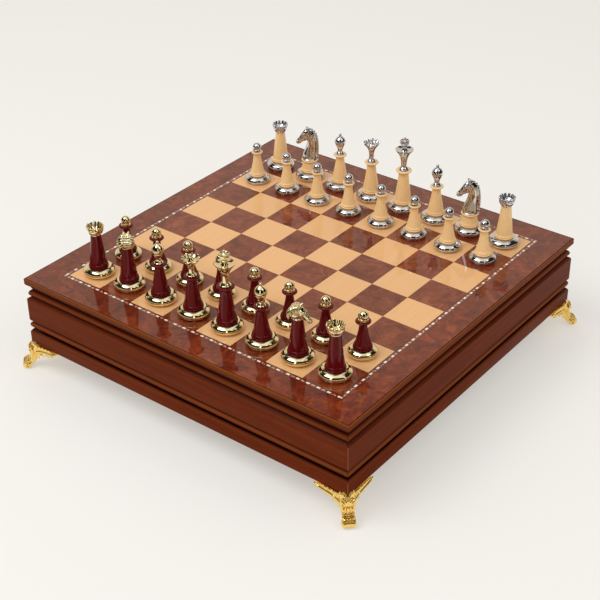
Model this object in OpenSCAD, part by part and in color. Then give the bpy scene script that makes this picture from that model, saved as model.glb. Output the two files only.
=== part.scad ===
// Chess box with two drawers, made the way a cabinet maker makes it: an inlaid board on a mitred and
// moulded case, a drawer for each player, four cast corner feet, and a set of 32 weighted chessmen.
// Millimetres, +Z up. The origin is on the floor under the middle of the board. The front is -Y.

/* [Board] */
// Side of one playing square
square = 45; // [42:0.5:48]
// Width of the mosaic stringing round the squares
stringing_w = 6.5; // [5:0.5:8]
// Width of the burl border, from the stringing to the arris
border_w = 26.9; // [22:0.1:32]
// Width of the bare wood arris round the veneer
arris_w = 1.6; // [1.2:0.1:3]
// Thickness of the board, veneer included
board_h = 13; // [12:0.5:16]
// Thickness of every veneer
veneer = 0.6; // [0.5:0.1:1]
// Width of the solid moulded edge
edge_w = 8; // [7.5:0.5:8]

/* [Case] */
// Height of the moulded sides and drawer fronts
panel_h = 48.5; // [48.5:0.5:60]
// Thickness of the moulded sides and drawer fronts
panel_t = 18; // [16:0.5:20]
// Height of the plinth
plinth_h = 17; // [16:0.5:22]
// Shadow gap between plinth and panels
low_gap = 2; // [1.5:0.1:3]
// Shadow gap between panels and board
top_gap = 1.5; // [1:0.1:3]
// Radius of the two beads
bead_r = 4; // [3.5:0.1:4]
// Thickness of the wall between the drawers
divider_t = 12; // [9:1:16]
// Thickness of the case floor
floor_t = 6; // [4:0.5:6]

/* [Drawers] */
// Thickness of a drawer's sides
drawer_side_t = 9; // [8:0.5:12]
// Thickness of a drawer's back
drawer_back_t = 8; // [6:0.5:12]
// Thickness of a drawer's plywood bottom
drawer_floor_t = 3; // [3:0.5:4]
// Height of a drawer's sides
drawer_h = 47; // [40:0.5:47]
// Length of the compartment for the tall men
long_pocket = 98; // [92:1:104]

/* [Feet] */
// Height of the feet
foot_h = 31; // [30:0.5:34]
// Length of a foot's wing along the plinth
wing_l = 39; // [37:0.5:44]
// Thickness of a foot's screw plate
plate_t = 3; // [2:0.5:4]

/* [Chessmen] */
// Radius of a pawn's base
pawn_r = 15; // [13:0.1:17]
// Radius of the other bases
man_r = 17; // [15:0.1:19]
// Height of a pawn's base
pawn_base_h = 8.4; // [7:0.1:10]
// Height of the other bases
man_base_h = 9.4; // [8:0.1:11]

/* [Hidden] */
$fn = 64;
files = ["a", "b", "c", "d", "e", "f", "g", "h"];
officers = ["rook", "knight", "bishop", "queen", "king", "bishop", "knight", "rook"];
sets = ["red", "silver"];

glue = 0.05;      // glue line between pieces of one body
play = 0.3;       // running clearance of a drawer
field = 8 * square;
inlay_w = field + 2 * stringing_w;
veneer_w = inlay_w + 2 * border_w;
case_w = veneer_w + 2 * arris_w;
half = case_w / 2;
z_plinth = foot_h;
z_floor = z_plinth + plinth_h;
z_panel = z_floor + low_gap;
z_board = z_panel + panel_h + top_gap;
z_top = z_board + board_h;
z_veneer = z_top - veneer;
inner = half - panel_t;
rebate = 6;       // step in the plinth that holds the case floor
tongue = 9;       // depth behind the face where a side closes the shadow gaps
core_w = case_w - 2 * edge_w;

drawer_out = inner - play - 0.1;
drawer_in = drawer_out - drawer_side_t;
drawer_z = z_floor + play;
drawer_end = divider_t / 2 + 1;
groove = 4;
groove_z = drawer_z + 3;
liner_z = groove_z + drawer_floor_t + 2 * glue;
liner_top = drawer_z + drawer_h - 3;
liner_wall = 2.5;

mahogany = [0.40, 0.18, 0.11];
burl = [0.52, 0.26, 0.18];
maple = [0.87, 0.68, 0.46];
walnut = [0.42, 0.24, 0.19];
ply = [0.80, 0.66, 0.47];
gilt = [0.87, 0.68, 0.25];
chrome = [0.75, 0.75, 0.77];
burgundy = [0.38, 0.04, 0.07];
boxwood = [0.91, 0.73, 0.48];
velvet = [0.36, 0.05, 0.09];

function arc(x, y, r, from, to, n = 6) =
    [for (i = [0:n]) let (a = from + (to - from) * i / n) [x + r * cos(a), y + r * sin(a)]];

// ---------------------------------------------------------------- mitred mouldings

// A rail with both ends cut at 45 degrees. Its outer face lies on y = 0 and the wood is behind it.
// The child is the section: x into the wood, y up.
module mitred_rail(len, depth) {
    intersection() {
        rotate([90, 0, 90]) linear_extrude(len, center = true) children();
        translate([0, 0, -5])
            linear_extrude(200)
            polygon([[-len / 2, 0], [len / 2, 0], [len / 2 - depth, depth], [depth - len / 2, depth]]);
    }
}

module mitred_frame(outside, depth) {
    for (k = [0:3])
        rotate([0, 0, 90 * k])
        translate([0, -outside / 2, 0])
        mitred_rail(outside - 2 * glue, depth)
        children();
}

// Edge of the board: a small bead over a quirk, a straight face, a round nose and a cove
module edge_section() {
    cove_r = 5.5;
    nose_r = 2.4;
    quirk_z = board_h - 2.5;
    polygon(concat(
        arc(-0.3, 0, cove_r, 0, 60),
        arc(nose_r, 7.2, nose_r, -90, -180),
        [[0, quirk_z - 0.3], [0.5, quirk_z]],
        arc(1, board_h - 1, 1, 200, 90),
        [[arris_w, board_h], [arris_w, board_h - veneer], [edge_w, board_h - veneer], [edge_w, 0]]));
}

// Front line of the sides and the drawer fronts: bead, chamfered flat band, bead
function panel_line() =
    let (low_bead = bead_r + 0.8, top_bead = bead_r + 2.3)
    concat(arc(low_bead, bead_r, bead_r, 270, 90, 10),
           [[3.2, 8.1], [0.6, 10.4], [0.6, panel_h - 11], [4.5, panel_h - 8.2]],
           arc(top_bead, panel_h - bead_r, bead_r, 270, 90, 10));

module panel_section() {
    polygon(concat([[panel_t, 0]], panel_line(), [[panel_t, panel_h]]));
}

module side_section() {
    polygon(concat([[panel_t, -low_gap], [tongue, -low_gap], [tongue, 0]], panel_line(),
                   [[tongue, panel_h], [tongue, panel_h + top_gap], [panel_t, panel_h + top_gap]]));
}

module plinth_section() {
    polygon([[0, 0], [0, plinth_h - 2.5], [2, plinth_h], [panel_t - rebate, plinth_h],
             [panel_t - rebate, plinth_h - floor_t], [panel_t, plinth_h - floor_t], [panel_t, 0]]);
}

// ---------------------------------------------------------------- board

dowel_r = 3;
dowel_l = 19;
dowel_z = z_board - 10;
dowel_x = half - panel_t + (panel_t - tongue) / 2;
dowel_places = concat(
    [for (s = [-1, 1], y = [-140, -50, 50, 140]) [s * dowel_x, y]],
    [for (x = [-120, 0, 120]) [x, 0]]);

module at_dowels() {
    for (p = dowel_places) translate([p[0], p[1], dowel_z]) children();
}

module dowel_holes() {
    at_dowels() translate([0, 0, -0.5]) cylinder(h = dowel_l + 1, r = dowel_r + glue);
}

module board_dowels() {
    color(ply) at_dowels() cylinder(h = dowel_l, r = dowel_r);
}

module board_core() {
    color(ply) difference() {
        translate([-core_w / 2 + glue, -core_w / 2 + glue, z_board])
            cube([core_w - 2 * glue, core_w - 2 * glue, board_h - veneer]);
        dowel_holes();
    }
}

module board_moulded_edge() {
    color(mahogany) translate([0, 0, z_board]) mitred_frame(case_w, edge_w) edge_section();
}

module veneer_strip(outside, width) {
    translate([0, 0, z_veneer])
        mitred_frame(outside - 2 * glue, width - glue)
        square([width - glue, veneer]);
}

module burl_border() {
    color(burl) veneer_strip(veneer_w, border_w);
}

module mosaic_stringing() {
    color(maple) veneer_strip(inlay_w, stringing_w);
}

// The squares of one colour. The square in the front left corner is a light one.
module squares(odd) {
    for (i = [0:7], j = [0:7])
        if ((i + j) % 2 == odd)
            translate([(i - 4) * square + glue, (j - 4) * square + glue, z_veneer])
                cube([square - 2 * glue, square - 2 * glue, veneer]);
}

module light_squares() {
    color(maple) squares(0);
}

module dark_squares() {
    color(walnut) squares(1);
}

// ---------------------------------------------------------------- case

module case_side(turn) {
    color(mahogany) difference() {
        rotate([0, 0, turn])
            translate([0, -half, z_panel])
            mitred_rail(case_w, panel_t)
            side_section();
        dowel_holes();
    }
}

module case_side_left() {
    case_side(-90);
}

module case_side_right() {
    case_side(90);
}

module case_divider() {
    color(mahogany) difference() {
        translate([-inner + glue, -divider_t / 2, z_floor])
            cube([2 * inner - 2 * glue, divider_t, z_board - z_floor]);
        dowel_holes();
    }
}

module case_floor() {
    reach = half - panel_t + rebate - 0.2;
    color(ply) translate([-reach, -reach, z_floor - floor_t]) cube([2 * reach, 2 * reach, floor_t]);
}

module plinth_frame() {
    color(mahogany) difference() {
        translate([0, 0, z_plinth]) mitred_frame(case_w, panel_t) plinth_section();
        pilot_holes();
    }
}

module corner_blocks() {
    leg = 30;
    color(mahogany) difference() {
        at_corners()
            translate([-panel_t - glue, -panel_t - glue, z_plinth])
            linear_extrude(plinth_h - floor_t - glue)
            polygon([[0, 0], [-leg, 0], [0, -leg]]);
        pilot_holes();
    }
}

// ---------------------------------------------------------------- drawers

// A drawer is drawn as the front one; the rear one is the same drawer turned round.
module drawer_face() {
    gap = play * sqrt(2);
    color(mahogany) difference() {
        translate([0, -half, z_panel]) mitred_rail(case_w - 2 * gap, panel_t) panel_section();
        translate([-drawer_in - groove, -inner - groove, groove_z])
            cube([2 * (drawer_in + groove), groove + 1, drawer_floor_t + 2 * glue]);
    }
}

// Fingers of the back that pass through the ends of the sides
fingers = 5;
finger_h = drawer_h / fingers;

module at_fingers() {
    for (i = [1:2:fingers - 2]) translate([0, 0, drawer_z + i * finger_h]) children();
}

module drawer_sides() {
    color(ply) for (s = [0, 1]) mirror([s, 0, 0]) difference() {
        translate([drawer_in, -inner + glue, drawer_z])
            cube([drawer_side_t, inner - drawer_end - glue, drawer_h]);
        at_fingers() translate([drawer_in - 1, -drawer_end - drawer_back_t, 0])
            cube([drawer_side_t + 2, drawer_back_t + 1, finger_h]);
        translate([drawer_in - 1, -inner - 1, groove_z])
            cube([groove + 1, inner, drawer_floor_t + 2 * glue]);
    }
}

module drawer_back() {
    color(ply) difference() {
        union() {
            translate([-drawer_in + glue, -drawer_end - drawer_back_t, drawer_z])
                cube([2 * (drawer_in - glue), drawer_back_t, drawer_h]);
            at_fingers() translate([-drawer_out, -drawer_end - drawer_back_t + glue, glue])
                cube([2 * drawer_out, drawer_back_t - glue, finger_h - 2 * glue]);
        }
        translate([-drawer_in - 1, -drawer_end - drawer_back_t - 1, groove_z])
            cube([2 * drawer_in + 2, groove + 1, drawer_floor_t + 2 * glue]);
    }
}

module drawer_bottom() {
    reach = drawer_in + groove - glue;
    front = inner + groove - glue;
    back = drawer_end + drawer_back_t - groove + 2 * glue;
    color(ply) translate([-reach, -front, groove_z + glue])
        cube([2 * reach, front - back, drawer_floor_t]);
}

// Velvet covered tray with a long compartment for the officers and a short one for the pawns
module drawer_liner() {
    front = -inner + 2 * glue;
    back = -drawer_end - drawer_back_t - 2 * glue;
    wide = drawer_in - 2 * glue;
    floor_z = liner_z + 1.5;
    split = front + liner_wall + long_pocket;
    color(velvet) difference() {
        translate([-wide, front, liner_z]) cube([2 * wide, back - front, liner_top - liner_z]);
        translate([-wide + liner_wall, front + liner_wall, floor_z])
            cube([2 * (wide - liner_wall), long_pocket, drawer_h]);
        translate([-wide + liner_wall, split + liner_wall, floor_z])
            cube([2 * (wide - liner_wall), back - split - 2 * liner_wall, drawer_h]);
        translate([-wide + liner_wall, split - 1, liner_top - 7])
            cube([2 * (wide - liner_wall), liner_wall + 2, drawer_h]);
    }
}

// ---------------------------------------------------------------- corner feet

// Child drawn once in each corner, with the corner at [0, 0] and the case towards -X and -Y
module at_corner(k) {
    rotate([0, 0, 90 * k]) translate([half, half, 0]) children();
}

module at_corners() {
    for (k = [0:3]) at_corner(k) children();
}

screw_r = 1.5;
screw_l = 12;
screw_head_r = 3.4;
screw_head_h = 2;
screw_play = 0.15;
screw_places = [[-33, -8.5], [-8.5, -33], [-24, -24]];

module at_screws() {
    for (p = screw_places) translate([p[0], p[1], z_plinth - plate_t]) children();
}

module pilot_holes() {
    at_corners() at_screws() cylinder(h = screw_l + 0.5, r = screw_r + glue);
}

module foot_screws() {
    color(gilt) at_corners() at_screws() difference() {
        union() {
            cylinder(h = screw_head_h, r1 = screw_head_r, r2 = screw_r);
            cylinder(h = screw_l, r = screw_r);
        }
        translate([-2.4, -0.4, -1]) cube([4.8, 0.8, 1.7]);
    }
}

// Points of a Catmull-Rom spline through p, n of them to a span
function spline(p, n = 4) = concat(
    [for (i = [0:len(p) - 2], k = [0:n - 1])
        let (a = p[max(i - 1, 0)], b = p[i], c = p[i + 1], d = p[min(i + 2, len(p) - 1)], t = k / n)
        b + t * (c - a) / 2 + t * t * (a - 2.5 * b + 2 * c - d / 2)
            + t * t * t * (1.5 * (b - c) + (d - a) / 2)],
    [p[len(p) - 1]]);

// Front of the leg from the knee to the top of the toe: x outwards from the corner, y up
shin = spline([[0.9, foot_h - 1], [1.2, 24], [2.2, 19.5], [2.2, 15.2], [3.1, 11.5], [5.6, 9.8]]);
toe = [7.4, 5];
knee = [2.8, foot_h - 4];

// Cabriole leg seen from the side, along the diagonal: hollow shin, rolled toe and swept back
module leg_side() {
    polygon(concat(
        [[-25, foot_h], [0.9, foot_h]],
        shin,
        [toe, [toe[0], 0], [2.5, 0]],
        spline([[2.5, 0], [-1.5, 2.4], [-6, 7.2], [-10.5, 12.6], [-15, 18.4], [-21, 23.6], [-25, 26]])));
    translate(toe) circle(toe[1]);
}

// The same leg seen from the front: wide at the knee, narrow at the ankle
module leg_front() {
    side = spline([[5.6, 0], [6.4, 3.5], [6, 7], [5.3, 10.5], [6, 14.5], [7.8, 19], [8.8, 23],
                   [7.2, 27.5], [4.6, foot_h]], 3);
    polygon(concat(side, [for (i = [len(side) - 1:-1:0]) [-side[i][0], side[i][1]]]));
}

// Child is drawn in the upright plane along the diagonal and given the width w
module on_diagonal(w) {
    rotate([0, 0, 45]) rotate([90, 0, 0]) linear_extrude(w, center = true) children();
}

module leg() {
    panel = 0.9;
    panel_w = 6.4;
    eye_r = 1.5;
    difference() {
        union() {
            intersection() {
                on_diagonal(30) leg_side();
                rotate([0, 0, 45]) rotate([90, 0, 90]) linear_extrude(80, center = true) leg_front();
            }
            on_diagonal(8) translate(knee) circle(4);
        }
        on_diagonal(panel_w) polygon(concat(
            [for (i = [4:len(shin) - 1]) shin[i] + [panel, 0]],
            [for (i = [len(shin) - 1:-1:4]) shin[i] - [panel, 0]]));
        for (s = [-1, 1]) {
            rotate([0, 0, 45]) translate([toe[0] + 1, s * 6.4, toe[1]]) rotate([90, 0, 0])
                cylinder(h = 2.4, r = eye_r, center = true, $fn = 24);
            rotate([0, 0, 45]) translate([knee[0] + 0.6, s * 4, knee[1]]) rotate([90, 0, 0])
                cylinder(h = 2, r = eye_r, center = true, $fn = 24);
        }
    }
    for (i = [9:3:18])
        rotate([0, 0, 45]) translate([shin[i][0] - panel, 0, shin[i][1]])
            sphere(2 - i / 18, $fn = 24);
}

// Leaf shaped wing: x is the distance from the corner, y is the height
module wing_outline() {
    polygon(concat(
        [[0, foot_h], [wing_l, foot_h]],
        spline([[wing_l + 0.4, foot_h - 1], [wing_l + 0.2, foot_h - 6.2], [wing_l - 5, foot_h - 7.6],
                [wing_l - 10, foot_h - 6.8], [wing_l - 14, foot_h - 9.2], [19, foot_h - 10.4],
                [15.5, foot_h - 11.2], [12.5, foot_h - 16], [7.6, 12.4], [2.6, 8.6]]),
        [[0, 8.6]]));
}

// Raised scroll on the wing: part of a ring of round bead in the wing's plane, with an eye at each end
module scroll(x, z, r, from, sweep, bead) {
    translate([x, 0, z]) rotate([90, 0, 0]) {
        rotate([0, 0, from]) rotate_extrude(angle = sweep) translate([r, 0]) circle(bead, $fn = 16);
        for (a = [from, from + sweep])
            translate([r * cos(a), r * sin(a), 0]) sphere(1.25 * bead, $fn = 16);
    }
}

module wing() {
    proud = 1.8;
    sunk = 2.2;
    crest_proud = 2.1;
    crest_r = 1.4;
    difference() {
        union() {
            mirror([1, 0, 0]) translate([0, proud, 0]) rotate([90, 0, 0])
                linear_extrude(proud + sunk) wing_outline();
            for (x = [6.5, 11.5, 20.5, 25, 34.5])
                translate([-x, crest_proud, foot_h - 0.2]) rotate([90, 0, 0])
                    cylinder(h = crest_proud + 0.5, r = crest_r);
            translate([0, proud - 0.3, 0]) mirror([1, 0, 0]) {
                scroll(20.5, 13.4, 16.2, 112, 66, 1.4);
                scroll(14.6, 26.4, 2.2, -60, 240, 1);
                scroll(28, 36.4, 12.4, 214, 62, 1.3);
                scroll(31.2, 27.2, 2.3, -80, 250, 1);
                scroll(34.6, 12.2, 13, 70, 42, 1);
            }
        }
        translate([-200, -10, foot_h]) cube([200, 10, 20]);
    }
}

module screw_plate() {
    translate([0, 0, foot_h - plate_t])
        linear_extrude(plate_t)
        polygon([[-1, -1], [1 - wing_l, -1], [1 - wing_l, -16], [-16, 1 - wing_l], [-1, 1 - wing_l]]);
}

// One casting: leg, two wings and the plate that is screwed up under the plinth
module foot(k) {
    color(gilt) at_corner(k) difference() {
        union() {
            leg();
            wing();
            mirror([1, -1, 0]) wing();
            screw_plate();
        }
        at_screws() {
            translate([0, 0, -0.01])
                cylinder(h = screw_head_h, r1 = screw_head_r + screw_play, r2 = screw_r + screw_play);
            cylinder(h = plate_t + 1, r = screw_r + screw_play);
        }
    }
}

// ---------------------------------------------------------------- chessmen

// Weighted metal base: a low foot line, a round rim, and a shoulder up to the wood
module metal_base(r, h, wood_r) {
    rim = (h - 3.2) / 2;
    rim_z = 1.6 + rim;
    rotate_extrude() {
        polygon([[0, 0], [r - 1, 0], [r - 1, 1.6], [r - rim, 1.6], [r - rim, rim_z + rim],
                 [wood_r + 0.4, h], [0, h]]);
        translate([r - rim, rim_z]) circle(rim, $fn = 32);
    }
}

// Turned body: a rolled flange and a bead, then a waist that falls in to the neck by a power curve
module turned_body(z0, z1, wood_r, neck_r, bend) {
    bead = 1.3;
    waist_z = z0 + 7;
    waist_r = wood_r - 1.2;
    steps = 10;
    rotate_extrude() {
        polygon(concat(
            [[0, z0], [wood_r - 0.9, z0], [wood_r - 0.2, z0 + 0.7], [wood_r - 0.2, z0 + 3.1],
             [wood_r - 0.9, z0 + 3.8], [waist_r, z0 + 4]],
            [for (i = [0:steps]) [neck_r + (waist_r - neck_r) * pow(1 - i / steps, bend),
                                  waist_z + (z1 - waist_z) * i / steps]],
            [[0, z1]]));
        translate([wood_r - 1.7, z0 + 5.2]) circle(bead, $fn = 24);
    }
}

module collar(z, r) {
    thick = 2.1;
    rotate_extrude() {
        square_z = z - thick;
        translate([0, square_z]) square([r - thick, 2 * thick]);
        translate([r - thick, z]) circle(thick, $fn = 24);
    }
}

// Metal head on a stem: a foot ring at z0, then a smooth line through the points given above z0
module turned_head(z0, foot_r, line) {
    foot = [[0, 0], [foot_r, 0], [foot_r, 1.1], [foot_r - 1.6, 2.2]];
    points = concat(foot, spline(line, 3));
    translate([0, 0, z0]) rotate_extrude() polygon(concat(points, [[0, points[len(points) - 1][1]]]));
}

module pawn(wood, metal) {
    neck_z = 35.5;
    head_z = 44.9;
    color(metal) metal_base(pawn_r, pawn_base_h, 9.8);
    color(wood) union() {
        turned_body(pawn_base_h + glue, neck_z, 9.9, 3.9, 1.9);
        collar(neck_z + 2, 7);
    }
    color(metal) {
        translate([0, 0, neck_z + 4.1 + glue]) cylinder(h = 2, r1 = 5, r2 = 4);
        translate([0, 0, head_z]) sphere(5);
    }
}

module rook(wood, metal) {
    neck_z = 48;
    rim_z = 58.4;
    color(metal) metal_base(man_r, man_base_h, 11.4);
    color(wood) turned_body(man_base_h + glue, neck_z, 11.5, 5.2, 1.8);
    color(metal) difference() {
        rotate_extrude() polygon(concat(
            [[0, neck_z + glue], [5.8, neck_z + glue]],
            arc(3.9, neck_z + 5.8, 5.6, -60, 0),
            [[10.2, rim_z - 0.4], [9.6, rim_z + 0.7], [8.4, rim_z + 0.2], [6.8, neck_z + 6.4],
             [4.4, neck_z + 4.6], [0, neck_z + 4.2]]));
        for (a = [0:45:135])
            rotate([0, 0, a]) translate([-15, -1.3, neck_z + 6.8]) cube([30, 2.6, 12]);
    }
}

module bishop(wood, metal) {
    neck_z = 40.5;
    foot_z = neck_z + 4.1 + glue;
    color(metal) metal_base(man_r, man_base_h, 11);
    color(wood) union() {
        turned_body(man_base_h + glue, neck_z, 11.1, 4.4, 1.9);
        collar(neck_z + 2, 7.9);
    }
    color(metal) {
        turned_head(foot_z, 6.4, [[3, 3.4], [3, 5.4], [3.7, 8.2], [5.3, 11.6], [6.5, 15], [6.1, 18],
                                  [4.3, 20.6], [2, 22.2], [0.9, 22.9]]);
        translate([0, 0, foot_z + 24.2]) sphere(1.8, $fn = 32);
    }
}

module queen(wood, metal) {
    neck_z = 44;
    foot_z = neck_z + 4.1 + glue;
    rim = 23.3;
    rim_r = 9;
    points = 9;
    color(metal) metal_base(man_r, man_base_h, 11.2);
    color(wood) union() {
        turned_body(man_base_h + glue, neck_z, 11.3, 5, 1.8);
        collar(neck_z + 2, 8.6);
    }
    color(metal) {
        turned_head(foot_z, 6.9, [[3.3, 3.6], [3.4, 7], [4.2, 12], [5.6, 16.5], [7.4, 20.2], [8.8, rim - 0.7],
                                  [rim_r, rim], [8, rim - 0.2], [6, rim - 1.8], [3.4, rim - 2]]);
        translate([0, 0, foot_z + rim]) {
            for (a = [0:points - 1])
                rotate([0, 0, a * 360 / points]) translate([rim_r - 0.6, 0, 0.2]) sphere(1.5, $fn = 24);
            translate([0, 0, -3]) cylinder(h = 5, r1 = 3.2, r2 = 1.4);
            translate([0, 0, 3.4]) sphere(2.1, $fn = 32);
        }
    }
}

module king(wood, metal) {
    neck_z = 47;
    foot_z = neck_z + 4.1 + glue;
    rim = 25;
    color(metal) metal_base(man_r, man_base_h, 11.6);
    color(wood) union() {
        turned_body(man_base_h + glue, neck_z, 11.7, 5.6, 1.8);
        collar(neck_z + 2, 9.6);
    }
    color(metal) {
        turned_head(foot_z, 7.6, [[3.7, 3.8], [3.8, 7.5], [4.6, 13], [6.2, 18], [8.4, 21.8],
                                  [10.2, rim - 0.6], [10.5, rim], [9.4, rim], [7, rim - 1], [4, rim - 1]]);
        translate([0, 0, foot_z + rim]) {
            translate([0, 0, -2]) cylinder(h = 8, r1 = 4, r2 = 2.6);
            translate([0, 0, 5.5]) difference() {
                cylinder(h = 6, r1 = 3.2, r2 = 5.4);
                translate([0, 0, 3.5]) cylinder(h = 3, r1 = 3, r2 = 4.6);
                for (a = [0:60:120])
                    rotate([0, 0, a]) translate([-8, -0.9, 4]) cube([16, 1.8, 4]);
            }
            translate([0, 0, 8]) cylinder(h = 4.2, r = 1.6);
            translate([0, 0, 13.2]) sphere(2.2, $fn = 32);
        }
    }
}

// Horse cut out three times, as a carver roughs it out: from the side, from the front, from above.
// x points the way it looks, z is the height above the board, and the last point closes the outline.
low_nose = [[5.8, 49.4], [8.4, 48.2], [11.2, 45.4], [14.2, 44.2], [16.6, 46], [16.4, 49.2], [13.6, 53.4],
            [10.4, 57.6], [7.8, 61], [5.9, 64.6], [3.6, 62.6], [0.4, 62.2]];
low_back = [[-5.2, 60], [-8.8, 56.4], [-9.8, 52], [-8.4, 49], [-5.4, 47.7]];
tall_nose = [[4.8, 47.4], [7.6, 46], [10.8, 42.8], [14, 41.6], [16.6, 43.8], [16.4, 47.4], [13.6, 52.8],
             [10.4, 58.2], [8, 62.6], [6, 66.8], [3.6, 64.6], [0.4, 64.2]];
tall_back = [[-5.4, 62], [-8.6, 55.5], [-9.8, 46], [-10.3, 36], [-10, 27.5], [-9.9, 25.7]];
throat = [[9.8, 25.7], [9.3, 29], [7.5, 34], [5.7, 40], [4.6, 45]];

module horse(outline, foot_w, low, top) {
    intersection() {
        rotate([90, 0, 0]) linear_extrude(24, center = true) polygon(spline(outline, 3));
        rotate([90, 0, 90]) linear_extrude(60, center = true) difference() {
            polygon([[-foot_w, low], [-5.6, top - 20], [-5, top - 11], [-4.4, top - 6], [-3, top],
                     [3, top], [4.4, top - 6], [5, top - 11], [5.6, top - 20], [foot_w, low]]);
            polygon([[0, top - 4.6], [1.9, top + 0.5], [-1.9, top + 0.5]]);
        }
        translate([0, 0, low]) linear_extrude(60)
            polygon(spline([[-12, -3], [-6, -7], [0, -8.4], [6, -6.4], [11, -3.8], [15, -3.2],
                            [17, -1.6], [17, 1.6], [15, 3.2], [11, 3.8], [6, 6.4], [0, 8.4],
                            [-6, 7], [-12, 3]], 2));
    }
}

// Tall knight: a short wooden body under a long metal neck
module knight_long_neck(wood, metal) {
    neck_z = 21.5;
    foot_z = neck_z + 4.1 + glue;
    color(metal) metal_base(man_r, man_base_h, 11.4);
    color(wood) union() {
        turned_body(man_base_h + glue, neck_z, 11.5, 8.8, 1.6);
        collar(neck_z + 2, 10.2);
    }
    color(metal) {
        horse(concat(throat, tall_nose, tall_back), 8.2, foot_z, 67);
        translate([0, 0, foot_z]) cylinder(h = 1.4, r = 9.4);
    }
}

// Low knight: the horse's head sits straight on a tall wooden body
module knight_short_neck(wood, metal) {
    neck_z = 47.5;
    color(metal) metal_base(man_r, man_base_h, 11.4);
    color(wood) turned_body(man_base_h + glue, neck_z, 11.5, 5.4, 1.8);
    color(metal) {
        horse(concat([[5.4, 47.7]], low_nose, low_back), 6, 43.5, 64.8);
        translate([0, 0, neck_z + glue]) cylinder(h = 2, r = 5.8);
    }
}

// Which way each knight looks, in degrees from +X: front left, front right, rear left, rear right
knight_turn = [-52, 15, -142, -142];

module officer(kind, wood, metal, front, turn) {
    if (kind == "rook") rook(wood, metal);
    if (kind == "bishop") bishop(wood, metal);
    if (kind == "queen") queen(wood, metal);
    if (kind == "king") king(wood, metal);
    if (kind == "knight" && front) rotate([0, 0, turn]) knight_short_neck(wood, metal);
    if (kind == "knight" && !front) rotate([0, 0, turn]) knight_long_neck(wood, metal);
}

module on_square(i, j) {
    translate([(i - 3.5) * square, (j - 3.5) * square, z_top]) children();
}

module back_rank_man(s, i) {
    front = s == 0;
    turn = knight_turn[2 * s + (i > 3 ? 1 : 0)];
    on_square(i, front ? 0 : 7)
        officer(officers[i], front ? burgundy : boxwood, front ? gilt : chrome, front, turn);
}

module pawn_on_file(s, i) {
    front = s == 0;
    on_square(i, front ? 1 : 6) pawn(front ? burgundy : boxwood, front ? gilt : chrome);
}

// ---------------------------------------------------------------- nodes

board_core();
board_moulded_edge();
burl_border();
mosaic_stringing();
light_squares();
dark_squares();
board_dowels();
case_side_left();
case_side_right();
case_divider();
case_floor();
plinth_frame();
corner_blocks();
foot_screws();
foot(0);  // foot_rear_right
foot(1);  // foot_rear_left
foot(2);  // foot_front_left
foot(3);  // foot_front_right
drawer_face();  // front_drawer_face
drawer_sides();  // front_drawer_sides
drawer_back();  // front_drawer_back
drawer_bottom();  // front_drawer_bottom
drawer_liner();  // front_drawer_liner
rotate([0, 0, 180]) drawer_face();  // rear_drawer_face
rotate([0, 0, 180]) drawer_sides();  // rear_drawer_sides
rotate([0, 0, 180]) drawer_back();  // rear_drawer_back
rotate([0, 0, 180]) drawer_bottom();  // rear_drawer_bottom
rotate([0, 0, 180]) drawer_liner();  // rear_drawer_liner
for (s = [0, 1], i = [0:7]) {
    back_rank_man(s, i);
    pawn_on_file(s, i);
}
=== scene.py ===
# %% [markdown]
# # A chess box with two drawers
#
# The real object is a low mahogany case with an inlaid board on top, a drawer at the front and one
# at the back, four cast feet and thirty-two weighted chessmen. A CAD model gives every size and
# every joint. This lesson gives it its looks. We start by loading the CAD model, because each piece
# that we make has to sit in its frame, and a helper reads the box of any part, because looks may not change
# its size.

import math
import random

import bmesh
import bpy
from mathutils import Matrix, Vector


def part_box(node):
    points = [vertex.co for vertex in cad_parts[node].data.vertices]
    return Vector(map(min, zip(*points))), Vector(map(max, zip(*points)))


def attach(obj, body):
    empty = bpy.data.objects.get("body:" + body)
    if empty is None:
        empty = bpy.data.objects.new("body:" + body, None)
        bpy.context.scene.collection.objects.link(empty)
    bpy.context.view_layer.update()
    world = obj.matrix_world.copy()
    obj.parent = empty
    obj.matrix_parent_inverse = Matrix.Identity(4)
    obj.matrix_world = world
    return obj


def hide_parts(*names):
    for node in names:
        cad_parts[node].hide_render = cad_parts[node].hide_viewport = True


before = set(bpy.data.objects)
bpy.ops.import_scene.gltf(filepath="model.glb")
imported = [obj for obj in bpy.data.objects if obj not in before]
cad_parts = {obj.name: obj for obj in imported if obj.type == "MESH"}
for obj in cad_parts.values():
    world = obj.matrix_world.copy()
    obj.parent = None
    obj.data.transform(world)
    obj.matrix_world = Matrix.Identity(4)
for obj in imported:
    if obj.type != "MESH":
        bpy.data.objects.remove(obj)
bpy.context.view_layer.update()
scene = bpy.context.scene

# %% [markdown]
# Colours are easiest to pick as the hex values that a screen shows, but a renderer adds up light,
# so it wants linear values. One function turns the first into the second, and nothing else in the
# file writes a linear colour by hand.

# %% Colours
def paint(hex_value):
    """Linear colour, with an alpha of 1, of an sRGB hex value such as "6a2f17"."""
    channels = [int(hex_value[i:i + 2], 16) / 255 for i in (0, 2, 4)]
    return tuple(c / 12.92 if c <= 0.04045 else ((c + 0.055) / 1.055) ** 2.4 for c in channels) + (1.0,)


print("Mid grey is", round(paint("808080")[0], 3), "in linear light")

# %% [markdown]
# A material is a small network of nodes. Written out in full that is long and hard to read, so one
# function adds a node, sets its options, and sets or links its sockets in the same call. Distances
# in the patterns are real millimetres: object coordinates are in metres, so they are multiplied by
# 1000 first, and a noise scale of 0.1 then means a feature about 10 mm wide.

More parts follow.
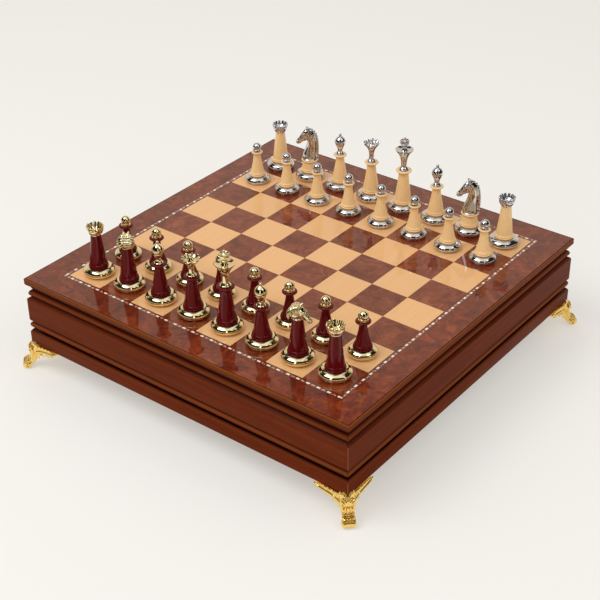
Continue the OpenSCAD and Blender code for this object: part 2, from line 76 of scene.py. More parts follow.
# %% One function for every node
def add(tree, kind, sockets={}, stops=None, **options):
    """Add a node. kind is its class name in Blender without "ShaderNode" in front. sockets holds values,
    or outputs of other nodes to link. stops fill a colour ramp with places and hex colours."""
    node = tree.nodes.new("ShaderNode" + kind)
    for name, value in options.items():
        setattr(node, name, value)
    for name, value in sockets.items():
        if isinstance(value, bpy.types.NodeSocket):
            tree.links.new(value, node.inputs[name])
        else:
            node.inputs[name].default_value = value
    if stops:
        ramp = node.color_ramp.elements
        while len(ramp) < len(stops):
            ramp.new(1.0)
        for element, (place, colour) in zip(ramp, stops):
            element.position, element.color = place, paint(colour)
    return node


def start_finish(name, **sockets):
    """A new material with its shader, whose plain numbers are set straight on its sockets."""
    material = bpy.data.materials.new(name)
    material.use_nodes = True
    tree = material.node_tree
    shader = tree.nodes["Principled BSDF"]
    for socket, value in sockets.items():
        shader.inputs[socket.replace("_", " ")].default_value = value
    return material, tree, shader


def in_millimetres(tree, stretch=(1, 1, 1), attribute=None):
    """Place on the object in millimetres, or a stored attribute, with each axis stretched."""
    if attribute:
        place = add(tree, "Attribute", attribute_name=attribute).outputs["Vector"]
        scale = stretch
    else:
        place = add(tree, "TexCoord").outputs["Object"]
        scale = [1000 * share for share in stretch]
    return add(tree, "Mapping", {"Vector": place, "Scale": scale}).outputs["Vector"]


print("Node helpers ready")

# %% [markdown]
# ** Stained mahogany under a satin lacquer.** The case mouldings are plain straight-grained wood,
# stained red-brown. Shade is painted dark into the quirks, coves and gaps, and a golden brown
# highlight is painted on the crests of the beads, which is what draws the mouldings so crisply. The
# rails store both amounts of paint at every corner of their section, and a place along the rail,
# `grain`, so that the grain follows each rail round the case. A satin coat gives the soft sheen.

# %% Stained mahogany
def stained_mahogany():
    material, tree, shader = start_finish("mahogany_stained_satin_painted_shade_and_light", Coat_Weight=0.02,
                                          Coat_Roughness=0.14, Specular_IOR_Level=0.025)
    # pores are about 0.6 mm wide and 15 mm long; the figure is about 6 mm wide and 120 mm long
    pores = add(tree, "TexNoise", {"Vector": in_millimetres(tree, (0.07, 1.6, 1.6), "grain"), "Scale": 1.0,
                                   "Detail": 4.0, "Roughness": 0.6})
    figure = add(tree, "TexNoise", {"Vector": in_millimetres(tree, (0.008, 0.16, 0.16), "grain"),
                                    "Scale": 1.0, "Detail": 2.0, "Distortion": 0.6})
    both = add(tree, "Math", {0: pores.outputs["Fac"], 1: figure.outputs["Fac"]}, operation="ADD")
    half = add(tree, "Math", {0: both.outputs[0], 1: 0.5}, operation="MULTIPLY")
    wood = add(tree, "ValToRGB", {"Fac": half.outputs[0]},
               stops=[(0.32, "561f0b"), (0.5, "64280f"), (0.68, "6f3014")])
    # painted highlight: golden brown on the crests of the beads and on the board's edge
    rubbed = add(tree, "Attribute", attribute_name="rubbed")
    highlight_colour = add(tree, "Mix", {"Factor": rubbed.outputs["Fac"], 6: wood.outputs["Color"], 7: paint("81441b")},
                 data_type="RGBA")
    # above 1, the painted highlight turns paler still, to a bare-wood colour: the painted bright line on the
    # sanded corners
    corner_highlight = add(tree, "Math", {0: rubbed.outputs["Fac"], 1: 1.0}, operation="SUBTRACT", use_clamp=True)
    with_highlights = add(tree, "Mix", {"Factor": corner_highlight.outputs[0], 6: highlight_colour.outputs[2], 7: paint("c08a62")},
               data_type="RGBA")
    # painted shade: dark red-brown in the quirks, coves and gaps, and a dark line on the board's arris
    glaze = add(tree, "Attribute", attribute_name="glaze")
    dark = add(tree, "Mix", {"Factor": glaze.outputs["Fac"], 6: with_highlights.outputs[2], 7: paint("270603")},
               data_type="RGBA")
    rough = add(tree, "MapRange", {"Value": pores.outputs["Fac"], "To Min": 0.34, "To Max": 0.5})
    bump = add(tree, "Bump", {"Height": pores.outputs["Fac"], "Strength": 0.12, "Distance": 0.0001})
    tree.links.new(dark.outputs[2], shader.inputs["Base Color"])
    tree.links.new(rough.outputs[0], shader.inputs["Roughness"])
    tree.links.new(bump.outputs[0], shader.inputs["Normal"])
    return material


mahogany = stained_mahogany()
print("Made", mahogany.name)

# %% [markdown]
# **Burr veneer under gloss lacquer.** The border and the dark squares are burr: the grain swirls
# round small eyes instead of running straight. A coarse noise bends the space that a finer noise is
# read in, which gives the swirls, and round cells make the eyes. Each square is cut from another
# part of the leaf, so the pattern is moved by a random step for each 45 mm cell. The gloss coat on
# top is nearly as smooth as glass, and it is that coat that mirrors the chessmen.

# %% Burr veneer
SQUARE = 45.0            # side of one square of the board, mm
ONE_LEAF = 1e5           # larger than the board, so that all of it is one piece of veneer


def burr_veneer(name, colours, cell):
    """colours run from the darkest fleck to the lightest swirl, cell is the size of one cut piece."""
    material, tree, shader = start_finish(name, Roughness=0.5, Specular_IOR_Level=0.08, Coat_Weight=1.0,
                                          Coat_Roughness=0.06)
    place = in_millimetres(tree)
    piece = add(tree, "VectorMath", {0: place, 1: (cell, cell, 1e6)}, operation="SNAP")
    step = add(tree, "TexWhiteNoise", {"Vector": piece.outputs[0]}, noise_dimensions="3D")
    moved = add(tree, "VectorMath", {0: step.outputs["Color"], 1: (300, 300, 0), 2: place},
                operation="MULTIPLY_ADD")
    # the figure of a burr bends over about 35 mm
    bend = add(tree, "TexNoise", {"Vector": moved.outputs[0], "Scale": 0.028, "Detail": 3.0,
                                  "Roughness": 0.55})
    bent = add(tree, "VectorMath", {0: bend.outputs["Color"], 1: (55, 55, 55), 2: moved.outputs[0]},
               operation="MULTIPLY_ADD")
    # clouds of light and dark about 14 mm across, with a finer crinkle of 1 to 2 mm in them
    cloud = add(tree, "TexNoise", {"Vector": bent.outputs[0], "Scale": 0.07, "Detail": 6.0, "Roughness": 0.62,
                                   "Distortion": 0.7})
    crinkle = add(tree, "TexNoise", {"Vector": bent.outputs[0], "Scale": 0.5, "Detail": 5.0, "Roughness": 0.7,
                                     "Distortion": 1.2})
    eyes = add(tree, "TexVoronoi", {"Vector": bent.outputs[0], "Scale": 0.09}, feature="SMOOTH_F1")
    tone = add(tree, "Math", {0: crinkle.outputs["Fac"], 1: 0.3, 2: cloud.outputs["Fac"]},
               operation="MULTIPLY_ADD")
    tone2 = add(tree, "Math", {0: eyes.outputs["Distance"], 1: 0.16, 2: tone.outputs[0]},
                operation="MULTIPLY_ADD")
    colour = add(tree, "ValToRGB", {"Fac": tone2.outputs[0]},
                 stops=list(zip((0.5, 0.65, 0.77, 0.92), colours)))
    # neighbouring pieces differ a little in depth of colour
    shade = add(tree, "MapRange", {"Value": step.outputs["Value"], "To Min": 0.88, "To Max": 1.1})
    tinted = add(tree, "VectorMath", {0: colour.outputs["Color"], "Scale": shade.outputs[0]},
                 operation="SCALE")
    tree.links.new(tinted.outputs[0], shader.inputs["Base Color"])
    return material


burr_border = burr_veneer("burr_veneer_border_gloss_lacquered", ["4a1306", "63200a", "762c0f", "8d3c19"],
                          ONE_LEAF)
burr_squares = burr_veneer("burr_veneer_squares_gloss_lacquered", ["581c0c", "6f2a12", "803719", "914827"],
                           SQUARE)
print("Made", burr_border.name, "and", burr_squares.name)

# %% [markdown]
# **Maple veneer under the same lacquer.** The light squares are almost plain: a faint straight
# figure and a slightly different honey tone from square to square.

# %% Maple veneer
def maple_veneer():
    material, tree, shader = start_finish("maple_veneer_gloss_lacquered", Roughness=0.5,
                                          Specular_IOR_Level=0.08, Coat_Weight=1.0, Coat_Roughness=0.06)
    place = in_millimetres(tree)
    piece = add(tree, "VectorMath", {0: place, 1: (SQUARE, SQUARE, 1e6)}, operation="SNAP")
    step = add(tree, "TexWhiteNoise", {"Vector": piece.outputs[0]}, noise_dimensions="3D")
    # growth lines about 3 mm apart and 60 mm long
    streak = add(tree, "Mapping", {"Vector": place, "Scale": (0.33, 0.016, 1)})
    moved = add(tree, "VectorMath", {0: step.outputs["Color"], 1: (90, 90, 0), 2: streak.outputs[0]},
                operation="MULTIPLY_ADD")
    lines = add(tree, "TexNoise", {"Vector": moved.outputs[0], "Scale": 1.0, "Detail": 4.0,
                                   "Distortion": 0.5})
    colour = add(tree, "ValToRGB", {"Fac": lines.outputs["Fac"]},
                 stops=[(0.3, "e7b178"), (0.5, "e9b47b"), (0.72, "ebb77e")])
    shade = add(tree, "MapRange", {"Value": step.outputs["Value"], "To Min": 0.97, "To Max": 1.03})
    tinted = add(tree, "VectorMath", {0: colour.outputs["Color"], "Scale": shade.outputs[0]},
                 operation="SCALE")
    tree.links.new(tinted.outputs[0], shader.inputs["Base Color"])
    return material


maple = maple_veneer()
print("Made", maple.name)

# %% [markdown]
# **Small inlay finishes.** The stringing is a row of tiny tiles: mother of pearl, padauk, holly, and
# a dark line of dyed wood on each side. They are under the same lacquer. At this size neither grain
# nor lustre shows, so each finish drifts gently between two tones.

# %% Pearl and dyed woods
def inlay_tile(name, low, high, size):
    """A tile of shell or wood whose colour drifts between two tones over size mm."""
    material, tree, shader = start_finish(name, Roughness=0.35, Coat_Weight=1.0, Coat_Roughness=0.05)
    drift = add(tree, "TexNoise", {"Vector": in_millimetres(tree), "Scale": 1 / size, "Detail": 3.0})
    colour = add(tree, "ValToRGB", {"Fac": drift.outputs["Fac"]}, stops=[(0.38, low), (0.62, high)])
    tree.links.new(colour.outputs["Color"], shader.inputs["Base Color"])
    return material


pearl = inlay_tile("mother_of_pearl_inlay_polished", "f2dfc4", "fbf1df", 4.0)
padauk = inlay_tile("padauk_inlay_dyed_red", "5c170c", "8a2c1a", 5.0)
holly = inlay_tile("holly_inlay_tinted_pink", "c98568", "e2ab8e", 3.0)
ebony_line = inlay_tile("ebony_stringing_line", "2a0f08", "45200f", 6.0)
print("Made the inlay finishes")

# %% [markdown]
# **Metals.** The red men have plated zinc in a pale champagne gold, the light men bright chrome, and
# the feet are cast brass, gilt in a deeper yellow. A polished casting is never quite flat: it has a
# faint ripple a few millimetres long, which bends the reflections and shows that it is solid metal.

# %% Plated and gilt metals
def polished_metal(name, colour, ripple, roughness):
    """ripple is the length of the waves in millimetres that casting and buffing leave."""
    material, tree, shader = start_finish(name, Base_Color=paint(colour), Metallic=1.0)
    place = in_millimetres(tree)
    waves = add(tree, "TexNoise", {"Vector": place, "Scale": 1 / ripple, "Detail": 2.0})
    haze = add(tree, "TexNoise", {"Vector": place, "Scale": 1.2, "Detail": 3.0})
    rough = add(tree, "MapRange", {"Value": haze.outputs["Fac"], "To Min": roughness * 0.7,
                                   "To Max": roughness * 1.4})
    bump = add(tree, "Bump", {"Height": waves.outputs["Fac"], "Strength": 0.08, "Distance": 0.00025})
    tree.links.new(rough.outputs[0], shader.inputs["Roughness"])
    tree.links.new(bump.outputs[0], shader.inputs["Normal"])
    return material


pale_gold = polished_metal("zinc_gold_plated_polished", "f3e2b4", 6.0, 0.06)
chrome = polished_metal("zinc_chrome_plated_polished", "d9dade", 6.0, 0.06)
gilt = polished_metal("brass_cast_gilt_polished", "fbd67e", 3.0, 0.12)
steel = polished_metal("steel_screw_zinc_plated", "b9bcc0", 3.0, 0.3)
print("Made four metals")

# %% [markdown]
# **Wood of the chessmen.** The red bodies are beech under many coats of burgundy lacquer, so deep
# that hardly any grain shows. The light bodies are boxwood, waxed: fine upright grain, a soft sheen.

# %% Lacquered beech and waxed boxwood
def turned_wood(name, dark, light, **sockets):
    material, tree, shader = start_finish(name, **sockets)
    # upright fibres about 0.8 mm wide and 20 mm long
    fibres = add(tree, "TexNoise", {"Vector": in_millimetres(tree, (1.2, 1.2, 0.05)), "Scale": 1.0,
                                    "Detail": 4.0, "Distortion": 0.4})
    colour = add(tree, "ValToRGB", {"Fac": fibres.outputs["Fac"]}, stops=[(0.35, dark), (0.65, light)])
    bump = add(tree, "Bump", {"Height": fibres.outputs["Fac"], "Strength": 0.06, "Distance": 0.0001})
    tree.links.new(colour.outputs["Color"], shader.inputs["Base Color"])
    tree.links.new(bump.outputs[0], shader.inputs["Normal"])
    return material


red_beech = turned_wood("beech_turned_burgundy_lacquered", "50040a", "66070d", Roughness=0.4,
                        Specular_IOR_Level=0.02, Coat_Weight=0.6, Coat_Roughness=0.05)
boxwood = turned_wood("boxwood_turned_waxed", "f6ca8c", "fbd59b", Roughness=0.42,
                      Specular_IOR_Level=0.3, Coat_Weight=0.3, Coat_Roughness=0.18)
print("Made", red_beech.name, "and", boxwood.name)

# %% [markdown]
# **Inside woods.** Drawer sides and backs are pale beech, planed and left bare. The board core, the
# case floor and the drawer bottoms are birch plywood: a quiet face, and thin dark glue lines every
# 1.5 mm on the edges. Upright height gives those lines, because every sheet here lies flat.

# %% Bare beech and plywood
def bare_beech():
    material, tree, shader = start_finish("beech_planed_bare", Specular_IOR_Level=0.3)
    # flecks about 0.6 mm wide and 8 mm long
    fleck = add(tree, "TexNoise", {"Vector": in_millimetres(tree, (0.13, 0.13, 1.7)), "Scale": 1.0,
                                   "Detail": 5.0, "Roughness": 0.65})
    colour = add(tree, "ValToRGB", {"Fac": fleck.outputs["Fac"]},
                 stops=[(0.35, "b98a5c"), (0.55, "cfa273"), (0.7, "dab184")])
    rough = add(tree, "MapRange", {"Value": fleck.outputs["Fac"], "To Min": 0.5, "To Max": 0.72})
    tree.links.new(colour.outputs["Color"], shader.inputs["Base Color"])
    tree.links.new(rough.outputs[0], shader.inputs["Roughness"])
    return material


def birch_plywood():
    material, tree, shader = start_finish("plywood_birch_sanded", Specular_IOR_Level=0.3)
    place = in_millimetres(tree)
    fibres = add(tree, "TexNoise", {"Vector": in_millimetres(tree, (0.02, 0.5, 0.02)), "Scale": 1.0,
                                    "Detail": 5.0, "Distortion": 0.8})
    face = add(tree, "ValToRGB", {"Fac": fibres.outputs["Fac"]}, stops=[(0.35, "bf9765"), (0.65, "d6b384")])
    height = add(tree, "SeparateXYZ", {0: place})
    plies = add(tree, "Math", {0: height.outputs["Z"], 1: 1.5}, operation="FLOORED_MODULO")
    glue_line = add(tree, "Math", {0: plies.outputs[0], 1: 0.25}, operation="LESS_THAN")
    up = add(tree, "SeparateXYZ", {0: add(tree, "TexCoord").outputs["Normal"]})
    edge = add(tree, "Math", {0: up.outputs["Z"]}, operation="ABSOLUTE")
    on_edge = add(tree, "Math", {0: edge.outputs[0], 1: 0.5}, operation="LESS_THAN")
    dark = add(tree, "Math", {0: glue_line.outputs[0], 1: on_edge.outputs[0]}, operation="MULTIPLY")
    colour = add(tree, "Mix", {"Factor": dark.outputs[0], 6: face.outputs["Color"], 7: paint("7c5431")},
                 data_type="RGBA")
    rough = add(tree, "MapRange", {"Value": fibres.outputs["Fac"], "To Min": 0.5, "To Max": 0.7})
    tree.links.new(colour.outputs[2], shader.inputs["Base Color"])
    tree.links.new(rough.outputs[0], shader.inputs["Roughness"])
    return material


beech, plywood = bare_beech(), birch_plywood()
print("Made", beech.name, "and", plywood.name)

# %% [markdown]
# **Flocked velvet.** The trays in the drawers are covered with short upright fibres. They catch
# light at the rim of every curve, which is what a sheen layer does, and brushing leaves patches
# about 20 mm wide that look lighter or darker.

# %% Velvet
def flocked_velvet():
    material, tree, shader = start_finish("velvet_flocked_burgundy", Roughness=0.9, Specular_IOR_Level=0.1,
                                          Sheen_Weight=0.6, Sheen_Roughness=0.4, Sheen_Tint=paint("d8707c"))
    place = in_millimetres(tree)
    brushed = add(tree, "TexNoise", {"Vector": place, "Scale": 0.05, "Detail": 2.0})
    # real fibres are 0.02 mm; these are 0.5 mm, coarse enough to show
    fibres = add(tree, "TexNoise", {"Vector": place, "Scale": 2.0, "Detail": 3.0})
    tone = add(tree, "Math", {0: fibres.outputs["Fac"], 1: 0.35, 2: brushed.outputs["Fac"]},
               operation="MULTIPLY_ADD")
    colour = add(tree, "ValToRGB", {"Fac": tone.outputs[0]}, stops=[(0.5, "3d0610"), (0.8, "640d1c")])
    bump = add(tree, "Bump", {"Height": fibres.outputs["Fac"], "Strength": 0.5, "Distance": 0.0004})
    tree.links.new(colour.outputs["Color"], shader.inputs["Base Color"])
    tree.links.new(bump.outputs[0], shader.inputs["Normal"])
    return material


velvet = flocked_velvet()
print("Made", velvet.name)

# %% [markdown]
# Pieces are built in millimetres, the way a maker measures them, and scaled to metres at the end.
# Every piece goes through one function: it makes the object, gives it its finishes, hides the CAD
# nodes that it stands for, and makes it ride on its CAD body. Its mesh is shaded smooth, with its real edges
# kept sharp, when it is made.

# %% From a mesh in millimetres to a piece
def finish_piece(name, mesh, materials, nodes, body, place=(0, 0, 0), turn=0):
    piece = bpy.data.objects.new(name, mesh)
    scene.collection.objects.link(piece)
    piece.location = [v / 1000 for v in place]
    piece.rotation_euler.z = math.radians(turn)
    for material in materials:
        if material.name not in mesh.materials:
            mesh.materials.append(material)
    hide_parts(*nodes)
    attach(piece, body)
    return piece


def to_mesh(name, shape, sharp=32):
    """Turn a bmesh in millimetres into a shaded mesh in metres."""
    bmesh.ops.recalc_face_normals(shape, faces=shape.faces)
    mesh = bpy.data.meshes.new(name)
    shape.to_mesh(mesh)
    shape.free()
    mesh.transform(Matrix.Scale(0.001, 4))
    mesh.shade_smooth()
    mesh.set_sharp_from_angle(angle=math.radians(sharp))
    return mesh


def arc(x, y, r, start, end, steps=10):
    """Points on part of a circle, angles in degrees."""
    return [(x + r * math.cos(math.radians(start + (end - start) * i / steps)),
             y + r * math.sin(math.radians(start + (end - start) * i / steps))) for i in range(steps + 1)]


def smooth_line(points, steps=5):
    """Points on a curve that passes through every given point, in two or three dimensions."""
    points = [Vector(p) for p in points]
    line = []
    for i in range(len(points) - 1):
        a, b, c, d = points[max(i - 1, 0)], points[i], points[i + 1], points[min(i + 2, len(points) - 1)]
        for k in range(steps):
            t = k / steps
            line.append(b + t * (c - a) / 2 + t * t * (a - 2.5 * b + 2 * c - d / 2)
                        + t ** 3 * (1.5 * (b - c) + (d - a) / 2))
    return line + [points[-1]]


print("A quarter circle in 4 steps:", [tuple(round(v, 2) for v in p) for p in arc(0, 0, 1, 0, 90, 4)])

# %% [markdown]
# ** Mouldings.** A moulding is one section, planed along a board and cut at 45 degrees where two
# meet. So a rail is its section drawn at both ends, where the end of each strand is as far in as its
# depth says, and the strands joined by long faces. The last third of a millimetre before each
# mitre is sanded off, because sharp outside corners don't last, and on flat wood that chamfer gets a
# pale painted highlight: the thin bright line down the corner of the case. The painted shade and the
# painted highlight are stored at each point of the section. The sizes that all pieces share are read
# from the CAD model first.

# %% Shared sizes
def cad_size(node, corner, axis):
    """A coordinate in mm of a CAD node's lowest (0) or highest (1) corner."""
    return round(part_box(node)[corner][axis] * 1000, 2)


CASE_HALF = cad_size("board_moulded_edge", 1, 0)      # half of the case, as wide as the board
Z_PLINTH = cad_size("plinth_frame", 0, 2)
Z_PANEL = cad_size("front_drawer_face", 0, 2)
Z_BOARD = cad_size("board_moulded_edge", 0, 2)
Z_TOP = cad_size("light_squares", 1, 2)
print("Half width", CASE_HALF, "and the heights of plinth, panel, board and top", Z_PLINTH, Z_PANEL, Z_BOARD,
      Z_TOP)

# %% A mitred rail
SANDED = 0.32            # how far the sanding of a mitre reaches, mm
ALL_SIDES = (0, 90, 180, 270)


def add_rail(shape, section, z0, turn, gap=0.05):
    """section: (depth behind the face, height, painted shade, painted highlight) round the rail. turn puts it
    on a side.
    """
    grain = shape.verts.layers.float_vector.get("grain") or shape.verts.layers.float_vector.new("grain")
    glaze = shape.verts.layers.float.get("glaze") or shape.verts.layers.float.new("glaze")
    rubbed = shape.verts.layers.float.get("rubbed") or shape.verts.layers.float.new("rubbed")
    spin = Matrix.Rotation(math.radians(turn), 3, "Z")
    middle = Vector((sum(p[0] for p in section) / len(section), sum(p[1] for p in section) / len(section)))
    rings = []
    for end, inset in ((-1, SANDED), (-1, 0), (1, 0), (1, SANDED)):
        ring = []
        for depth, height, dark, highlight_level in section:
            inward = (middle - Vector((depth, height))).normalized() * inset
            run = end * (CASE_HALF - depth - gap - (inward.x if inset else 2 * SANDED))
            vert = shape.verts.new(spin @ Vector((run, inward.x + depth - CASE_HALF, z0 + height + inward.y)))
            vert[grain] = (run + 1000 * turn / 90, depth, height + z0)
            # on flat wood, the sanded end of a mitre gets a pale painted highlight
            corner_highlight = inset and dark < 0.13 and highlight_level < 0.1
            vert[glaze], vert[rubbed] = (0.0, 1.75) if corner_highlight else (dark, highlight_level)
            ring.append(vert)
        rings.append(ring)
    count = len(section)
    for a, b in zip(rings, rings[1:]):
        for i in range(count):
            shape.faces.new((a[i], a[(i + 1) % count], b[(i + 1) % count], b[i]))
    shape.faces.new(rings[0])
    shape.faces.new(list(reversed(rings[-1])))


def toned(points, glaze=0.0, rubbed=0.0):
    return [(x, y, glaze, rubbed) for x, y in points]


def bead(x, y, r, start, end, crest, highlight_level):
    """A round whose crest, at the angle crest, gets a painted highlight, while its flanks get painted shade.
    """
    points, steps = [], 14
    for k, (px, py) in enumerate(arc(x, y, r, start, end, steps)):
        away = abs(start + (end - start) * k / steps - crest)
        points.append((px, py, min(0.75, max(0.0, (away - 22) / 60)), highlight_level * max(0.0, 1 - (away / 30) ** 2)))
    return points


print("Rails ready")

# %% [markdown]
# ** Edge of the board.** A small bead runs round the top, below it a quirk, a flat face that ends in a
# round nose, and a cove that throws the dark shadow over the case. The cove gets painted shade, the
# arris next to the veneer a nearly black painted reflection, and the face and the small bead a golden
# brown painted highlight.

# %% Edge of the board
def board_edge():
    shape = bmesh.new()
    # painted shade on the cove and the arris, painted highlight on the nose, the face and the small bead
    cove, nose = toned(arc(-0.3, 0, 5.5, 0, 55, 8), 0.75), toned(arc(2.4, 7.2, 2.4, -90, -180, 8), 0.25, 0.1)
    face = [(0.0, 9.0, 0.0, 0.4), (0.05, 10.2, 0.0, 0.7), (0.5, 10.5, 0.7, 0.0), (0.1, 10.9, 0.1, 0.6)]
    top_bead = toned(arc(1.0, 12.0, 1.0, 190, 110, 6), 0.0, 0.95)
    arris = [(1.0, 13.0, 0.85, 0), (1.6, 13.0, 0.9, 0)]
    section = cove + nose + face + top_bead + arris + [(1.6, 12.4, 0.9, 0), (8.0, 12.4, 0, 0), (8.0, 0, 0, 0)]
    for turn in ALL_SIDES:
        add_rail(shape, section, Z_BOARD, turn)
    return finish_piece("board_edge_rails", to_mesh("board_edge_rails", shape), [mahogany],
                        ["board_moulded_edge"], "case")


board_edge_rails = board_edge()
print("Board edge has", len(board_edge_rails.data.vertices), "vertices")

# %% [markdown]
# **Sides and drawer fronts.** All four faces of the case share one section, so a drawer front looks
# like a wall and gives the drawers away by nothing but the joints at the corners: a bead at the
# bottom, a chamfered flat band, a quirk, and a bead at the top, set back a little. The side walls
# have a tongue behind the face that closes the shadow gaps above and below. A drawer front has none,
# so that it can slide.

# %% Sides and drawer fronts
def face_line():
    # painted highlights on the crests of both beads, painted shade in the quirks and at the foot of each
    # chamfer
    return (bead(4.8, 4, 4, 270, 120, 158, 0.6)
            + [(4.3, 7.95, 0.9, 0), (3.4, 8.1, 0.95, 0), (2.9, 8.5, 0.75, 0), (0.85, 10.3, 0.3, 0.0),
               (0.62, 10.7, 0.12, 0.0), (0.6, 11.8, 0, 0), (0.6, 36.4, 0, 0), (0.62, 37.3, 0.05, 0.05),
               (0.9, 37.7, 0.15, 0.1), (4.2, 40.0, 0.7, 0), (4.6, 40.25, 0.95, 0), (6.0, 40.4, 1.0, 0)]
            + bead(6.3, 44.5, 4, 262, 92, 160, 0.35))


def case_wall(name, node, turn):
    shape = bmesh.new()
    # the tongue is painted dark: painted shade in the gaps above and below the face
    section = ([(18, -2, 0.6, 0), (9, -2, 0.8, 0), (9, 0, 0.95, 0)] + face_line()
               + [(9, 48.5, 0.95, 0), (9, 50, 0.8, 0), (18, 50, 0.6, 0)])
    add_rail(shape, section, Z_PANEL, turn)
    return finish_piece(name, to_mesh(name, shape), [mahogany], [node], "case")


def drawer_front(name, node, body, turn):
    shape = bmesh.new()
    # the back corners of a drawer front get a faint painted shade
    section = [(18, 0, 0.1, 0)] + face_line() + [(18, 48.5, 0.1, 0)]
    add_rail(shape, section, Z_PANEL, turn, gap=0.3 * math.sqrt(2))
    return finish_piece(name, to_mesh(name, shape), [mahogany], [node], body)


walls = [case_wall("case_wall_left", "case_side_left", 270),
         case_wall("case_wall_right", "case_side_right", 90),
         drawer_front("front_drawer_front", "front_drawer_face", "front_drawer", 0),
         drawer_front("rear_drawer_front", "rear_drawer_face", "rear_drawer", 180)]
print("Made", [w.name for w in walls])

# %% [markdown]
# **Plinth.** The lowest frame is plain, with a chamfer on top that the shadow gap hides, and a rebate
# inside that holds the case floor.

# %% Plinth
def plinth():
    shape = bmesh.new()
    # painted shade along the foot of the face, on the chamfer under the gap and in the rebate, and a faint
    # painted highlight where the face turns into the chamfer
    face = [(0.4, 0, 0.5, 0), (0, 0.5, 0.15, 0), (0, 2, 0, 0), (0, 14, 0, 0)]
    chamfer = [(0.25, 14.9, 0, 0.25), (1.8, 16.85, 0.6, 0), (2.3, 17, 0.95, 0)]
    rebate = [(12, 17, 0.95, 0), (12, 11, 0.2, 0), (18, 11, 0.2, 0), (18, 0, 0.2, 0)]
    for turn in ALL_SIDES:
        add_rail(shape, face + chamfer + rebate, Z_PLINTH, turn)
    return finish_piece("plinth_rails", to_mesh("plinth_rails", shape), [mahogany], ["plinth_frame"], "case")


plinth_rails = plinth()

# %% [markdown]
# **Mosaic stringing.** Round the squares runs a band made of tiny tiles, glued up as a strip and let
# into the veneer. A pearl dash comes every 12 mm or so, between them red tiles with small pink ones,
# and a red and a dark line on both sides. Each tile is its own little block with an open joint. The
# order has a small seeded chance in it, as hand-laid strips do. Corners are cut at 45 degrees.

# %% Mosaic stringing
STRING_INNER, STRING_OUTER = 180.05, 186.45      # distances of its edges from the middle of the board
PEARL, PADAUK, HOLLY, LINE, BURR = range(5)      # material slots


def stringing():
    shape = bmesh.new()
    rng = random.Random(8)
    low_z, top_z = Z_TOP - 0.6, Z_TOP - 0.02

    def tile(turn, a, b, u0, u1, slot):
        """a and b are distances from the middle of the board, u0 and u1 places along the side."""
        spin = Matrix.Rotation(math.radians(turn), 3, "Z")
        corners = [(max(u0, -a), -a), (min(u1, a), -a), (min(u1, b), -b), (max(u0, -b), -b)]
        low = [shape.verts.new(spin @ Vector((x, y, low_z))) for x, y in corners]
        high = [shape.verts.new(spin @ Vector((x, y, top_z))) for x, y in corners]
        faces = [low[::-1], high] + [(low[i], low[(i + 1) % 4], high[(i + 1) % 4], high[i]) for i in range(4)]
        for corners4 in faces:
            shape.faces.new(corners4).material_index = slot

    seam, line, edge, joint = 0.7, 1.4, 2.05, 0.06
    for turn in ALL_SIDES:
        for side, way in ((STRING_OUTER, -1), (STRING_INNER, 1)):
            for start, end, slot in ((0, seam, BURR), (seam + 0.02, line, LINE), (line + 0.02, edge, PADAUK)):
                near, far = side + way * start, side + way * end
                tile(turn, max(near, far), min(near, far), -STRING_OUTER, STRING_OUTER, slot)
        a, b = STRING_OUTER - edge - 0.03, STRING_INNER + edge + 0.03
        u = -b
        tile(turn, a, b, -a, -b - 0.05, PEARL)
        while u < b - 0.5:
            for length, slot in ((1.9, PADAUK), (1.4, HOLLY), (rng.choice((1.1, 1.5)), HOLLY), (1.6, HOLLY),
                                 (1.9, PADAUK), (4.1, PEARL)):
                end = min(u + length, b)
                if end - u > 0.3:
                    # a place for holly is split across into two small tiles, of holly or padauk
                    if slot == HOLLY:
                        tile(turn, a, a - 1.1, u, end - joint, rng.choice((HOLLY, PADAUK, HOLLY)))
                        tile(turn, a - 1.15, b, u, end - joint, rng.choice((HOLLY, PADAUK)))
                    else:
                        tile(turn, a, b, u, end - joint, slot)
                u = end
    return finish_piece("mosaic_strip", to_mesh("mosaic_strip", shape),
                        [pearl, padauk, holly, ebony_line, burr_border], ["mosaic_stringing"], "case")


mosaic_strip = stringing()
print("The strip has", len(mosaic_strip.data.polygons) // 6, "tiles")

# %% [markdown]
# The flat veneers and the inside joinery have the right shape already, so the CAD nodes stay and get
# their finish. Wood that a hand touches has its edges eased with fine paper, and the velvet of the
# trays bends round their edges, so those nodes get a bevel: the weld before it joins the faces, which
# a CAD export leaves apart.

# %% Finishes for the CAD nodes that stay
def refinish(material, *nodes, ease=0.0):
    """ease is the radius of the edges in millimetres."""
    for node in nodes:
        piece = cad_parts[node]
        if not piece.material_slots:
            piece.data.materials.append(material)
        for slot in piece.material_slots:
            slot.material = material
        if ease:
            weld = piece.modifiers.new("weld", "WELD")
            weld.merge_threshold = 1e-5
            bevel = piece.modifiers.new("eased edges", "BEVEL")
            bevel.width, bevel.segments = ease / 1000, 3
            bevel.limit_method, bevel.angle_limit = "ANGLE", math.radians(40)


refinish(burr_border, "burl_border")
refinish(burr_squares, "dark_squares")
refinish(maple, "light_squares")
refinish(plywood, "board_core", "case_floor", "front_drawer_bottom", "rear_drawer_bottom", "board_dowels")
refinish(beech, "front_drawer_sides", "front_drawer_back", "rear_drawer_sides", "rear_drawer_back",
         "corner_blocks", "case_divider", ease=0.5)
refinish(steel, "foot_screws")
refinish(velvet, "front_drawer_liner", "rear_drawer_liner", ease=1.1)
print("Refinished the veneers and the inside")

# %% [markdown]
# **Turning.** Everything round on a chessman came off a lathe, so one function spins a profile of
# radius and height. A crown or a battlement is a turned cup that was then cut, so a second function,
# given as `cut`, may move each point by its angle, which gives slots and points without a boolean.

# %% A lathe
METAL, WOOD = 0, 1       # the two material slots of a man


